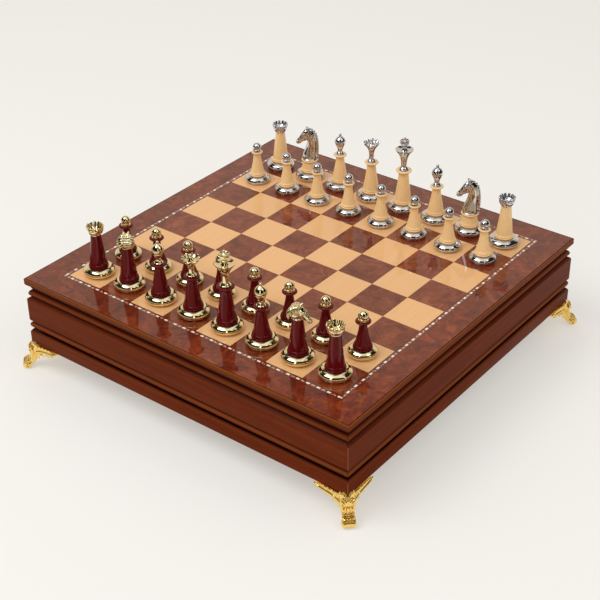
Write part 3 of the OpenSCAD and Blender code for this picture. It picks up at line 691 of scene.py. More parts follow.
def spin_profile(shape, line, slot, around=56, cut=None):
    """Spin points of (radius, height) round the upright axis, with around corners in a ring."""
    rings = []
    for radius, height in line:
        if radius < 1e-4:
            rings.append([shape.verts.new((0, 0, height))])
            continue
        ring = []
        for i in range(around):
            angle = 2 * math.pi * i / around
            r, z = cut(radius, height, angle) if cut else (radius, height)
            ring.append(shape.verts.new((r * math.cos(angle), r * math.sin(angle), z)))
        rings.append(ring)
    for a, b in zip(rings, rings[1:]):
        for i in range(around):
            j = (i + 1) % around
            corners = [a[i % len(a)], a[j % len(a)], b[j % len(b)], b[i % len(b)]]
            corners = [v for n, v in enumerate(corners) if v not in corners[:n]]
            if len(corners) > 2:
                shape.faces.new(corners).material_index = slot


def raised(z, *points):
    """Points of (radius, height) with their heights counted from z."""
    return [(r, z + h) for r, h in points]


print("Lathe ready")

# %% [markdown]
# **Sizes of the men.** A man is three parts on one peg: a weighted metal base, a turned wooden body and
# a metal head. Pawn, queen and knight differ a little between the two colours, so the table has a row
# for each colour of them. Two parts meet with a fine open joint, as they do on the real ones.

# %% Sizes of the men
JOINT = 0.05
COLLAR_H = 4.15          # from the neck of a body that has a collar up to the seat of its head
MAN_SIZES = {
    # base: radius, height, radius of its top; body: height of the neck, radius at the foot and at the
    # neck, how hollow it is, and radius of the collar, or 0 for none
    "red_pawn": ((15.0, 8.4, 9.5), (35.5, 10.0, 3.9, 1.6, 7.9)),
    "silver_pawn": ((15.0, 8.4, 9.5), (35.5, 9.7, 4.2, 1.45, 6.8)),
    "rook": ((17.0, 9.4, 10.3), (48.0, 10.7, 5.6, 1.15, 0)),
    "bishop": ((17.0, 9.4, 10.3), (40.5, 10.7, 4.7, 1.3, 7.8)),
    "red_queen": ((17.0, 9.4, 10.5), (42.0, 10.9, 5.1, 1.25, 8.3)),
    "silver_queen": ((17.0, 9.4, 10.5), (44.0, 10.9, 5.1, 1.25, 8.3)),
    "king": ((17.0, 9.4, 10.8), (47.0, 11.2, 5.7, 1.25, 9.3)),
    "red_knight": ((17.0, 9.4, 10.5), (47.5, 10.8, 5.5, 1.1, 0)),
    "silver_knight": ((17.0, 9.4, 10.6), (21.5, 11.0, 8.3, 1.2, 10.2)),
}


def man_sizes(kind, colour):
    return MAN_SIZES.get(kind) or MAN_SIZES[f"{colour}_{kind}"]


def seat_height(kind, colour):
    """Height above the square at which a man's head sits."""
    neck_z, *_, collar_r = man_sizes(kind, colour)[1]
    return neck_z + (COLLAR_H if collar_r else JOINT)


print("A king's head sits", round(seat_height("king", "red"), 2), "mm above the board")

# %% [markdown]
# **Base and body of a man.** The base is weighted metal: one fat round rim, and a shoulder that rises to
# the top that the wood stands on. The body starts with a rolled flange and a bead, falls in along a
# hollow curve, and on most men ends in a rounded collar.

# %% Base and body
def metal_base(shape, r, h, top_r):
    rim = (h - 1.2) / 2      # radius of the round of the rim
    line = [(0, 0), (r - 0.62 * rim, 0)] + arc(r - rim, 0.3 + rim, rim, -66, 58, 24)
    rim_r, rim_z = line[-1]
    shoulder = ((rim_r + top_r) / 2 + 0.4, (rim_z + h) / 2 + 0.3)
    line += smooth_line([line[-2], line[-1], shoulder, (top_r + 0.25, h)])[6:]
    spin_profile(shape, line + [(0, h)], METAL)


def turned_body(shape, z0, z1, foot_r, neck_r, hollow, collar_r):
    """z0 is the height of the body's foot, and z1 that of its neck."""
    line = raised(z0, (0, 0), (foot_r - 1.3, 0), (foot_r - 0.8, 0.2))
    line += arc(foot_r - 1.2, z0 + 1.2, 1.2, -55, 50, 8) + arc(foot_r - 1.8, z0 + 3.1, 1.15, -48, 62, 8)
    start_z, start_r, steps = z0 + 4.25, foot_r - 1.4, 16
    for i in range(steps + 1):
        t = i / steps
        line.append((neck_r + (start_r - neck_r) * (1 - t) ** hollow, start_z + (z1 - start_z) * t))
    if collar_r:
        line += smooth_line(raised(z1, (neck_r, 0), (neck_r + 0.35, 0.5), (collar_r - 1.2, 1.6),
                                   (collar_r - 0.35, 2.3)), 4)[1:]
        line += arc(collar_r - 0.9, z1 + 2.95, 0.9, -20, 80, 6) + raised(z1, (collar_r - 1.8, 3.85), (0, 3.8))
    else:
        line.append((0, z1))
    spin_profile(shape, line, WOOD)


print("Base and body ready")

# %% [markdown]
# **Heads of pawn and bishop.** A pawn has a ball on a small ring. A bishop has a bulb with a tip on a
# hollow stem. Bishop, queen and king all start with the same small stepped ring.

# %% Pawn and bishop
def ring_foot(z, r, waist):
    """A small stepped metal ring that sits on the collar, up to the waist of the stem."""
    return raised(z, (0, 0), (r - 0.5, 0), (r - 0.1, 0.3), (r, 0.7), (r - 0.2, 1.1), (r - 0.7, 1.35),
                  (r - 0.9, 1.55), (r - 0.75, 1.95), (r - 1.0, 2.5), (waist + 0.4, 3.1))


def pawn_head(shape, z):
    line = raised(z, (0, 0), (4.9, 0), (5.2, 0.3), (5.1, 0.7), (4.2, 0.95), (3.5, 1.1))
    spin_profile(shape, line + arc(0, z + 4.95, 5.3, -48, 90, 18), METAL)


def bishop_head(shape, z):
    line = ring_foot(z, 4.9, 3.0)
    line += smooth_line(raised(z, (3.0, 3.6), (3.0, 5.4), (3.7, 8.2), (5.3, 11.6), (6.5, 15.0), (6.1, 18.0),
                               (4.3, 20.6), (2.0, 22.2), (0.9, 22.9)), 4)
    spin_profile(shape, line + arc(0, z + 24.2, 1.75, -60, 90, 8), METAL)


print("Pawn and bishop ready")

# %% [markdown]
# **Heads of queen and king.** A queen has a wide cup with nine small points round a ball, a king a
# saucer with a little crown of seven lobes above it. Points and lobes are a wave round the rim.

# %% Queen and king
QUEEN_TALL = {"red": 19.5, "silver": 23.2}      # stem and cup; the red queen is the shorter one


def queen_head(shape, z, tall):
    rim = z + tall

    def points(r, h, angle):
        wave = max(0.0, math.cos(9 * angle)) ** 0.7
        return (r + 0.4 * wave, h + 1.5 * wave) if h > rim - 0.6 and r > 6.5 else (r, h)

    cup = raised(z, (3.1, 3.8), (3.0, 0.32 * tall), (3.2, 0.48 * tall), (4.0, 0.62 * tall),
                 (5.7, 0.77 * tall), (7.9, 0.89 * tall)) + raised(rim, (9.1, -0.8), (9.4, 0))
    inside = raised(rim, (9.0, 0.4), (8.1, 0.1), (6.2, -1.6), (3.4, -1.9), (2.2, -0.6), (1.5, 1.2))
    line = ring_foot(z, 5.3, 3.1) + smooth_line(cup, 4) + inside + arc(0, rim + 3.2, 2.1, -55, 90, 10)
    spin_profile(shape, line, METAL, around=108, cut=points)


def king_head(shape, z):
    rim = z + 25.0

    def crown(r, h, angle):
        return (r + 0.3 * math.cos(7 * angle), h) if h > rim + 6.6 and r > 4.3 else (r, h)

    saucer = raised(z, (3.5, 4.0), (3.5, 7.5), (4.1, 13.0), (5.6, 17.5), (8.0, 21.4))
    line = ring_foot(z, 5.9, 3.7) + smooth_line(saucer + raised(rim, (10.1, -0.8), (10.5, 0)), 4)
    line += raised(rim, (10.3, 0.4), (9.4, 0.3), (7.0, -0.9), (4.2, -0.7), (3.1, 0.6), (2.6, 2.6), (2.5, 3.6),
                   (3.3, 4.1), (3.5, 4.7), (3.2, 5.3))
    line += smooth_line(raised(rim, (3.2, 5.3), (4.4, 6.6), (5.3, 8.6), (5.45, 10.4), (5.2, 11.3)), 4)[1:]
    line += raised(rim, (4.6, 11.5), (3.9, 10.9), (2.6, 11.3), (1.5, 12.3))
    spin_profile(shape, line + arc(0, rim + 13.7, 1.6, -50, 90, 8), METAL, around=108, cut=crown)


print("Queen and king ready")

# %% [markdown]
# **Head of the rook.** It is a cup whose rim was slotted twelve times and opened out like petals.

# %% Rook
def rook_head(shape, z):
    rim, slot_z, petals, slot_edge = z + 9.85, z + 7.0, 12, 0.7

    def slotted(r, h, angle):
        if h <= slot_z or r <= 5.5:
            return r, h
        gap = abs(angle * petals / (2 * math.pi) % 1 - 0.5) * 2      # 0 on a petal's middle, 1 in a slot
        aside = min(gap / slot_edge, 1.0)
        deep = max(0.0, min(1.0, (gap - slot_edge) / 0.14))
        top = h - 0.9 * max(0.0, (h - rim + 2.0) / 3.0) * aside ** 3
        return r + 0.3 * (1 - aside ** 2) - 0.4 * deep, top - deep * (top - slot_z)

    line = raised(z, (0, 0), (5.8, 0), (6.2, 0.35), (6.2, 0.9))
    line += smooth_line(raised(z, (6.4, 1.2), (7.5, 2.4), (8.4, 4.1), (8.65, 5.8), (8.6, 7.2), (8.75, 8.6))
                        + [(9.2, rim)], 4)
    line += raised(rim, (9.05, 0.7), (8.5, 1.1), (7.8, 0.8))
    line += raised(z, (7.1, 8.8), (6.6, 7.4), (6.1, 6.2), (4.4, 4.6), (0, 4.3))
    spin_profile(shape, line, METAL, around=216, cut=slotted)


print("Rook ready")

# %% [markdown]
# **Carved and cast shapes.** A horse's head and a cast foot have no section that you could spin or
# sweep. A modeller builds such a thing up from rolls of wax and smooths the joints, and that can be
# done here too: `add_roll` lays a tapering roll along a curve, and `fuse` melts all rolls into one
# skin with a voxel remesh, as fine as the detail needs, and relaxes it a little.

# %% Rolls of wax
def add_roll(shape, path, radii, side=(0, 1, 0), flat=1.0, around=14, nose=1.0):
    """A roll along path, with one radius a point. Its width along side is flat times its depth, and
    nose is how far its ends bulge out, against a round end."""
    rows = [Vector((*p, r)) for p, r in zip(path, radii)]
    if len(rows) > 2:
        rows = smooth_line(rows, 4)
    centres, sizes, side = [r.xyz for r in rows], [max(r.w, 0.05) for r in rows], Vector(side).normalized()
    first = (centres[1] - centres[0]).normalized() * sizes[0]
    last = (centres[-1] - centres[-2]).normalized() * sizes[-1]
    # three rings round off each end
    for k in (0.35, 0.7, 0.93):
        centres.insert(0, rows[0].xyz - first * k * nose)
        sizes.insert(0, rows[0].w * math.sqrt(1 - k * k))
        centres.append(rows[-1].xyz + last * k * nose)
        sizes.append(max(rows[-1].w, 0.05) * math.sqrt(1 - k * k))
    rings = []
    for i, (centre, size) in enumerate(zip(centres, sizes)):
        along = (centres[min(i + 1, len(centres) - 1)] - centres[max(i - 1, 0)]).normalized()
        across = along.cross(side).normalized()
        wide = across.cross(along).normalized()
        rings.append([shape.verts.new(centre + size * (math.cos(a) * across + flat * math.sin(a) * wide))
                      for a in [2 * math.pi * k / around for k in range(around)]])
    for a, b in zip(rings, rings[1:]):
        for i in range(around):
            shape.faces.new((a[i], a[(i + 1) % around], b[(i + 1) % around], b[i]))
    shape.faces.new(rings[0][::-1])
    shape.faces.new(rings[-1])


def add_lump(shape, centre, sizes):
    """An egg shaped lump with three half sizes."""
    place = Matrix.Translation(centre) @ Matrix.Diagonal((*sizes, 1))
    bmesh.ops.create_icosphere(shape, subdivisions=3, radius=1.0, matrix=place)


print("Wax ready")

# %% [markdown]
# The remesh is a modifier, so the skin is read from the evaluated object, and the wax is thrown away.

# %% Melting the rolls together
def fuse(shape, voxel, relax=2):
    """Melt overlapping closed shapes into one skin. voxel is the finest detail kept, in mm."""
    bmesh.ops.recalc_face_normals(shape, faces=shape.faces)
    mesh = bpy.data.meshes.new("wax")
    shape.to_mesh(mesh)
    shape.free()
    wax = bpy.data.objects.new("wax", mesh)
    scene.collection.objects.link(wax)
    melt = wax.modifiers.new("melt", "REMESH")
    melt.mode, melt.voxel_size = "VOXEL", voxel
    ease = wax.modifiers.new("ease", "SMOOTH")
    ease.factor, ease.iterations = 0.5, relax
    skin = bpy.data.meshes.new_from_object(wax.evaluated_get(bpy.context.evaluated_depsgraph_get()))
    bpy.data.objects.remove(wax)
    bpy.data.meshes.remove(mesh)
    return skin


print("Melting ready")

# %% [markdown]
# **Horse's head.** The forehead is long and straight, the cheek is round and the ears stand up. Both
# colours have the same head. On the red men it sits straight on a tall body, with a mane that fans out
# over the neck. The light men have a long metal neck on a low body, with a comb of locks down its back.
# The head is laid out from the poll, the point between the ears: u runs down the nose, v towards the
# forehead, and w to the side.

# %% Horse's head
NOSE_DOWN = 43           # slope of the nose in degrees


def add_head(shape, poll_x, poll_z, size):
    down, up = math.radians(-NOSE_DOWN), math.radians(90 - NOSE_DOWN)

    def at(u, v, w=0.0):
        return Vector((poll_x + size * (u * math.cos(down) + v * math.cos(up)), size * w,
                       poll_z + size * (u * math.sin(down) + v * math.sin(up))))

    def roll(path, radii, **options):
        add_roll(shape, [at(*p) for p in path], [r * size for r in radii], **options)

    # forehead and nose, jaw, forelock
    roll([(0, 0), (4, 0.3), (8.5, 0), (13, -0.4), (16.6, -0.6), (17.8, -0.8)], [4.5, 4.8, 4.1, 3.4, 3.1, 2.9],
         flat=0.8, around=20)
    roll([(3.4, -3.8), (8, -3.6), (12.6, -2.5), (15.8, -2.1)], [4.0, 3.2, 2.3, 2.0], flat=0.74)
    roll([(-1.6, 3.4), (2.4, 4.2), (5.8, 3.3)], [1.3, 1.3, 0.5], flat=1.3)
    for s in (-1, 1):
        # cheek, nostril, eye
        add_lump(shape, at(4.6, -2.8, 2.2 * s), (3.6 * size, 1.9 * size, 3.6 * size))
        add_lump(shape, at(17.8, 0.8, 1.6 * s), (1.3, 1.0, 1.3))
        add_lump(shape, at(6.7, 1.3, 3.2 * s), (1.0, 0.75, 0.95))
        # brow, nose bone, lips, ear
        roll([(4.4, 2.4, 2.9 * s), (6.8, 3.1, 3.1 * s), (9.0, 2.1, 2.6 * s)], [0.5, 0.85, 0.4])
        roll([(8.8, 2.3, 1.9 * s), (12.6, 1.8, 1.9 * s), (15.9, 1.2, 1.6 * s)], [0.5, 0.7, 0.4])
        roll([(13.6, -2.6, 1.7 * s), (16.5, -3.0, 1.8 * s), (18.0, -2.4, 1.5 * s)], [0.6, 0.75, 0.6])
        add_roll(shape, [(poll_x + 0.6, 2.0 * s, poll_z + 2.6), (poll_x + 2.2, 2.6 * s, poll_z + 4.4),
                         (poll_x + 3.2, 2.5 * s, poll_z + 5.7)], [1.7, 1.3, 0.35])


print("Horse's head ready")

# %% [markdown]
# **Neck and mane.** Each lock is one roll, thickest in the middle, and the locks overlap as roof tiles
# do, which is what makes the ridges. The wax reaches a little into the seat, where it is cut flat.

# %% Neck and mane
def long_neck(shape):
    neck = [(0, 0, 26.6), (-0.3, 0, 30), (-1.2, 0, 36), (-2.4, 0, 43), (-2.9, 0, 50), (-1.8, 0, 56),
            (0.6, 0, 60)]
    add_roll(shape, neck, [9.2, 8.9, 7.6, 6.5, 6.0, 5.8, 4.9], flat=0.86, around=28)
    add_roll(shape, [(0, 0, 25.9), (0, 0, 26.4)], [9.3, 9.3], around=32, nose=0.1)
    add_head(shape, 1.2, 60.4, 1.0)
    # a comb of locks that stands off the back of the neck
    for x, z in ((0.4, 64.0), (-2.6, 62.9), (-5.4, 60.6), (-7.4, 57.4), (-8.6, 53.8), (-9.3, 50.0),
                 (-9.6, 46.2), (-9.7, 42.4), (-9.6, 38.6), (-9.4, 34.8), (-9.2, 31.4)):
        for s in (-1, 1):
            add_roll(shape, [(x + 1.2, 0.9 * s, z + 0.4), (x + 0.4, 1.9 * s, z - 0.8),
                             (x - 0.2, 2.3 * s, z - 3.4), (x + 0.5, 2.4 * s, z - 6.2)],
                     [0.8, 1.15, 1.1, 0.4], side=(1, 0, 0))
        add_roll(shape, [(x + 1.4, 0, z - 1.0), (x, 0, z + 0.3), (x - 0.9, 0, z - 2.2)], [1.0, 1.2, 0.5],
                 flat=1.2)


def short_neck(shape):
    neck = [(-0.4, 0, 48.6), (-1.4, 0, 51.6), (-1.4, 0, 55), (0.2, 0, 58)]
    add_roll(shape, neck, [5.6, 6.4, 6.2, 4.9], flat=0.9, around=24)
    add_roll(shape, [(0, 0, 47.8), (0, 0, 48.8)], [5.9, 5.9], around=24, nose=0.1)
    add_head(shape, 1.6, 58.4, 0.9)
    # locks that fan out over both sides of the neck, and one row of short ones down the crest
    for x, z, wide, drop in ((1.0, 62.0, 0.75, 5.0), (-1.6, 61.9, 0.95, 5.6), (-3.9, 60.8, 1.12, 6.6),
                             (-5.9, 59.0, 1.15, 7.0), (-7.2, 56.6, 1.02, 6.6), (-7.6, 54.0, 0.8, 5.4)):
        for s in (-1, 1):
            add_roll(shape, [(x, 0.3 * s, z), (x - 0.5, 3.6 * wide * s, z - 0.2),
                             (x - 0.2, 6.6 * wide * s, z - 0.4 * drop), (x + 0.9, 8.2 * wide * s, z - drop)],
                     [1.0, 1.5, 1.45, 0.35], side=(1, 0, 0.4))
        add_roll(shape, [(x + 1.2, 0, z - 0.8), (x, 0, z + 0.4), (x - 0.8, 0, z - 1.6)], [0.8, 1.0, 0.5],
                 flat=1.2)


def horse(neck, colour, seat_r):
    """Melt a neck and its head, and flatten what reaches below the seat, so that it stands on the wood."""
    shape = bmesh.new()
    neck(shape)
    skin = fuse(shape, 0.36)
    for vertex in skin.vertices:
        if vertex.co.xy.length < seat_r:
            vertex.co.z = max(vertex.co.z, seat_height("knight", colour))
    return skin


horses = {"red": horse(short_neck, "red", 8.0), "silver": horse(long_neck, "silver", 12.0)}
print("The horses have", [len(skin.polygons) for skin in horses.values()], "faces")

# %% [markdown]
# **The thirty-two men.** Each kind is modelled once a colour and used where it stands, as a set is
# made from one mould. Every man is a body of its own that can be lifted off its square.

# %% Model the men
HEADS = {"pawn": pawn_head, "rook": rook_head, "bishop": bishop_head, "king": king_head}


def man_mesh(kind, colour):
    base, (neck_z, *body) = man_sizes(kind, colour)
    seat = seat_height(kind, colour)
    shape = bmesh.new()
    metal_base(shape, *base)
    turned_body(shape, base[1] + JOINT, neck_z, *body)
    if kind == "knight":
        shape.from_mesh(horses[colour])
    elif kind == "queen":
        queen_head(shape, seat, QUEEN_TALL[colour])
    else:
        HEADS[kind](shape, seat)
    mesh = to_mesh(f"{colour}_{kind}", shape)
    for material in ((pale_gold, red_beech) if colour == "red" else (chrome, boxwood)):
        mesh.materials.append(material)
    return mesh


OFFICERS = ["rook", "knight", "bishop", "queen", "king", "bishop", "knight", "rook"]
man_meshes = {(colour, kind): man_mesh(kind, colour)
              for colour in ("red", "silver") for kind in ("pawn", *OFFICERS[:5])}
print("Modelled", len(man_meshes), "kinds of men")

# %% [markdown]
# The set stands ready for play: officers on the first rank, pawns in front. The knights are turned as
# they are in the photograph.

# %% Set up the men
KNIGHT_TURN = {"red_b": 128, "red_g": 15, "silver_b": -142, "silver_g": -142}      # degrees
men = []
for colour, back, front in (("red", 0, 1), ("silver", 7, 6)):
    for i, file in enumerate("abcdefgh"):
        for kind, rank in ((OFFICERS[i], back), ("pawn", front)):
            node = f"{colour}_{kind}_{file}"
            turn = KNIGHT_TURN[f"{colour}_{file}"] if kind == "knight" else 0
            men.append(finish_piece(node + "_turned", man_meshes[colour, kind], [], [node], node,
                                    place=((i - 3.5) * SQUARE, (rank - 3.5) * SQUARE, Z_TOP), turn=turn))
print("Set up", len(men), "men")

# %% [markdown]
# **Feet.** Four castings in a leafy scroll style. From the side a foot swings out from the corner,
# in again at the ankle and out to a rolled toe, and two leaf shaped wings hold it against the
# plinth. All of it is rolls of wax: the leg, its ribs, palm leaf and belt, then on each wing a scroll,
# lobes that hang below it and curled tips above. A foot is laid out round its corner of the case: s
# runs outwards, t across.

# %% Leg of a foot
OUT, ACROSS = Vector((1, 1, 0)).normalized(), Vector((1, -1, 0)).normalized()


def foot_leg(shape):
    def at(s, t, z):
        return OUT * s + ACROSS * t + Vector((0, 0, z))

    def lay(path, radii, side=ACROSS, **options):
        add_roll(shape, [at(*place) for place in path], radii, side=side, **options)

    # knee, hollow shin, ankle, and the roll of the toe
    lay([(-6.5, 0, 29.5), (-3.8, 0, 23.5), (-2.4, 0, 17.5), (-1.2, 0, 12.5), (1.4, 0, 8.4), (5.0, 0, 5.8)],
        [6.2, 5.6, 4.4, 3.8, 3.7, 4.0], flat=1.3, around=24)
    lay([(7.1, -5.6, 4.8), (7.1, 5.6, 4.8)], [4.6, 4.6], side=OUT, around=28, nose=0.12)
    for s in (-1, 1):
        # side ribs down the shin, flaring at the knee and rolling over the toe
        lay([(0.6, 5.0 * s, 28.0), (0.2, 6.4 * s, 24), (1.0, 5.8 * s, 18.5), (1.6, 5.2 * s, 13.5),
             (3.2, 5.2 * s, 10.6), (6.8, 5.4 * s, 9.8), (10.9, 5.4 * s, 7.3), (11.4, 5.4 * s, 3.0)],
            [1.0, 1.5, 1.4, 1.3, 1.2, 1.1, 1.0, 0.8])
        # round eyes at the ends of the toe roll
        turns = [math.radians(40 * k) for k in range(10)]
        lay([(7.1 + 2.4 * math.cos(a), 6.2 * s, 4.8 + 2.4 * math.sin(a)) for a in turns], [0.85] * 10)
        add_lump(shape, at(7.1, 6.4 * s, 4.8), (0.85, 0.85, 0.85))
    # an open palm leaf on the knee, three ribs on the shin below it, and a belt at the ankle
    for t in (-2, -1, 0, 1, 2):
        aside = abs(t)
        lay([(2.9, 0.35 * t, 19.6), (3.6, 1.5 * t, 23.4), (3.0 - 0.35 * aside, 2.7 * t, 27.6 - 0.7 * aside),
             (1.6 - 0.35 * aside, 3.3 * t, 29.6 - 0.8 * aside)], [0.6, 1.1, 1.35, 0.6])
    for t in (-1, 0, 1):
        lay([(2.6, 1.7 * t, 20.5), (2.1, 2.6 * t, 17.0), (2.6, 2.7 * t, 13.4)], [0.7, 1.25, 1.1])
    lay([(3.2, -5.0, 12.2), (3.9, 0, 12.0), (3.2, 5.0, 12.2)], [1.35, 1.5, 1.35], side=OUT)
    # flutes on the toe
    for t in (-3.9, -1.3, 1.3, 3.9):
        lay([(4.6, t, 9.6), (8.0, t, 9.5), (10.8, t, 7.4), (11.6, t, 4.6), (10.9, t, 1.7)],
            [0.8, 1.05, 1.05, 1.0, 0.7])


print("Leg ready")

# %% [markdown]
# **Wings.** A thin leaf lies along the plinth on each side of the corner. The scroll stands proud of it
# and catches the light, and the hollows between the lobes stay dark, which gives the leaf its drawing.

# %% Wing of a foot
def foot_wing(shape, swap):
    """A place on a wing is its distance along the plinth, its height, and how far it stands proud."""
    side = (1, 0, 0) if swap else (0, 1, 0)

    def lay(path, radii, **options):
        places = [Vector((proud, -u, z)) if swap else Vector((-u, proud, z)) for u, z, proud in path]
        add_roll(shape, places, radii, side=side, **options)

    # the thin leaf, and the web that joins it to the leg
    lay([(3, 26.6, 0.6), (12, 26.4, 0.6), (20, 27.0, 0.6), (28, 28.0, 0.6), (36.2, 28.7, 0.6)],
        [4.9, 4.0, 3.3, 2.7, 1.9], flat=0.36, around=18)
    lay([(2, 22, 0.6), (7.5, 18.8, 0.6), (11.5, 20.2, 0.6)], [5.0, 3.9, 2.4], flat=0.34, around=18)
    # one bold scroll from the tip of the wing down into the leg
    lay([(2.4, 12.0, 1.8), (4.6, 17.0, 2.0), (8.6, 21.6, 2.0), (14.5, 24.6, 1.8), (22, 26.0, 1.7),
         (30, 27.0, 1.6), (36.4, 28.4, 1.5), (38.4, 30.0, 1.3)], [1.2, 1.4, 1.55, 1.5, 1.4, 1.3, 1.3, 0.9])
    # lobes of the leaf that hang below the scroll, each with a rib
    for u, z, tip_u, tip_z, r in ((29, 26.0, 32.6, 23.6, 1.9), (21.5, 24.6, 25.4, 21.2, 2.3),
                                  (14.0, 22.4, 17.6, 18.0, 2.3), (8.0, 18.4, 10.6, 13.4, 2.0)):
        mid_u, mid_z = (u + tip_u) / 2 - 0.3, (z + tip_z) / 2
        lay([(u, z, 0.6), (mid_u, mid_z, 0.8), (tip_u, tip_z, 0.3)], [r, r, 0.4 * r], flat=0.45)
        lay([(u, z, 1.5), (mid_u, mid_z, 1.7), (tip_u - 0.3, tip_z + 0.4, 0.9)], [0.7, 0.75, 0.4])
    # curled tips along the top edge, in front of the plinth
    for u, z, r in ((6.8, 28.6, 1.5), (11.2, 28.8, 1.6), (16.4, 29.4, 1.5), (21.6, 29.8, 1.4),
                    (26.6, 30.2, 1.25)):
        lay([(u - 1.4, z - 2.4, 1.0), (u, z, 1.35), (u + 2.0, z + 1.4, 1.1)], [0.7, r, 0.6], flat=0.7)


print("Wing ready")

# %% [markdown]
# The leg and its two wings melt into one skin. Its top is trimmed where the plinth sits on it.

# %% Cast the foot
UNDER_PLINTH = Z_PLINTH - JOINT


def cast_foot():
    shape = bmesh.new()
    foot_leg(shape)
    foot_wing(shape, swap=False)
    foot_wing(shape, swap=True)
    skin = fuse(shape, 0.4)
    # seat it flat on the floor, and behind the plinth's faces no higher than its underside
    for vertex in skin.vertices:
        x, y, z = vertex.co
        z = max(z, 0.0)
        if x < 0.05 and y < 0.05:
            z = min(z, UNDER_PLINTH)
        elif z > UNDER_PLINTH:
            if x < y:
                y = max(y, 0.06)
            else:
                x = max(x, 0.06)
        vertex.co = (x, y, z)
    return skin


foot_skin = cast_foot()
print("A foot has", len(foot_skin.polygons), "faces")

# %% [markdown]
# The foot is screwed up under the plinth through a flat plate with three holes, cast in one with it.
# The plate has the same outline as the CAD's, and joins the skin in one mesh. The four feet share it,
# each turned to its own corner.

# %% Place the feet
def foot_mesh():
    outline = [(-1, -1), (-38, -1), (-38, -16), (-16, -38), (-1, -38)]
    holes, hole_r, corners, low = [(-33, -8.5), (-8.5, -33), (-24, -24)], 1.7, 24, 28.0
    plate = bmesh.new()
    rim = [plate.verts.new((x, y, low)) for x, y in outline]
    edges = [plate.edges.new((rim[i], rim[(i + 1) % 5])) for i in range(5)]
    for hx, hy in holes:
        hole = [plate.verts.new((hx + hole_r * math.cos(a), hy + hole_r * math.sin(a), low))
                for a in [2 * math.pi * k / corners for k in range(corners)]]
        edges += [plate.edges.new((hole[k], hole[(k + 1) % corners])) for k in range(corners)]
    bmesh.ops.triangle_fill(plate, use_beauty=True, edges=edges)
    thick = bmesh.ops.extrude_face_region(plate, geom=plate.faces[:])
    upper = [v for v in thick["geom"] if isinstance(v, bmesh.types.BMVert)]
    bmesh.ops.translate(plate, vec=(0, 0, UNDER_PLINTH - low), verts=upper)
    bmesh.ops.recalc_face_normals(plate, faces=plate.faces)
    temporary = bpy.data.meshes.new("plate")
    plate.to_mesh(temporary)
    plate.free()
    shape = bmesh.new()
    shape.from_mesh(foot_skin)
    shape.from_mesh(temporary)
    bpy.data.meshes.remove(temporary)
    return to_mesh("cast_foot", shape, sharp=50)


foot = foot_mesh()
for turn, corner in ((0, "rear_right"), (90, "rear_left"), (180, "front_left"), (270, "front_right")):
    angle = math.radians(turn)
    x = CASE_HALF * (math.cos(angle) - math.sin(angle))
    y = CASE_HALF * (math.sin(angle) + math.cos(angle))
    finish_piece(f"foot_{corner}_cast", foot, [gilt], [f"foot_{corner}"], "case", place=(x, y, 0), turn=turn)
print("Placed four feet")

# %% [markdown]
# **Floor and world.** The photograph was taken on white paper in a light tent. Light from below the
# paper's edge fills its shadows, so the paper glows a little by itself. The lamps and the world together
# give the board a light of about one, at which a colour renders as it is written.

# %% Floor and world
def seen_directly(tree, share):
    """share for rays from the camera, a mirror or glass, and 0 for the rays that light up a surface."""
    path = add(tree, "LightPath")
    seen = add(tree, "Math", {0: path.outputs["Is Camera Ray"], 1: path.outputs["Is Glossy Ray"]},
               operation="MAXIMUM")
    seen = add(tree, "Math", {0: seen.outputs[0], 1: path.outputs["Is Transmission Ray"]},
               operation="MAXIMUM")
    return add(tree, "Math", {0: seen.outputs[0], 1: share}, operation="MULTIPLY").outputs[0]


def paper_floor(colour, glow):
    mesh = bpy.data.meshes.new("paper")
    shape = bmesh.new()
    bmesh.ops.create_circle(shape, cap_ends=True, segments=96, radius=6.0)
    shape.to_mesh(mesh)
    shape.free()
    floor = bpy.data.objects.new("paper_floor", mesh)
    scene.collection.objects.link(floor)
    material, tree, shader = start_finish("paper_matt_white", Base_Color=paint(colour), Roughness=0.9,
                                          Specular_IOR_Level=0.1)
    light = add(tree, "Emission", {"Color": paint(colour), "Strength": 1.0})
    mix = add(tree, "MixShader", {0: seen_directly(tree, glow), 1: shader.outputs[0], 2: light.outputs[0]})
    tree.links.new(mix.outputs[0], tree.nodes["Material Output"].inputs["Surface"])
    mesh.materials.append(material)


def world_light(background, ambient):
    world = bpy.data.worlds.new("light_tent")
    scene.world = world
    world.use_nodes = True
    tree = world.node_tree
    tree.nodes.clear()
    light = add(tree, "Background", {"Color": paint("fffaf4"), "Strength": ambient})
    paper = add(tree, "Background", {"Color": paint(background), "Strength": 1.0})
    mix = add(tree, "MixShader", {0: seen_directly(tree, 1.0), 1: light.outputs[0], 2: paper.outputs[0]})
    add(tree, "OutputWorld", {"Surface": mix.outputs[0]})


paper_floor("f5f3ee", 0.44)
world_light("f5f3ee", 0.64)
print("Floor and world ready")

# %% [markdown]
# **Lamps.** The light is soft and comes from all round, a little stronger from the upper left. One large
# soft box there makes the faint shadow to the right, and a weaker one on the right opens it up.

# %% Lamps
def soft_box(name, azimuth, elevation, distance, size, share):
    """A square lamp aimed at the board. share is the part of a full light that it gives a level top."""
    a, e = math.radians(azimuth), math.radians(elevation)
    way = Vector((math.sin(a) * math.cos(e), -math.cos(a) * math.cos(e), math.sin(e)))
    lamp = bpy.data.lights.new(name, "AREA")
    lamp.shape, lamp.size = "SQUARE", size
    lamp.color = paint("f8fbff")[:3]
    lamp.energy = share * math.pi ** 2 * distance ** 2 / math.sin(e)
    box = bpy.data.objects.new(name, lamp)
    box.location = way * distance
    box.rotation_euler = way.to_track_quat("Z", "Y").to_euler()
    scene.collection.objects.link(box)


soft_box("key_soft_box", -28, 56, 2.4, 1.5, 0.36)
soft_box("fill_soft_box", 95, 48, 2.4, 1.3, 0.10)

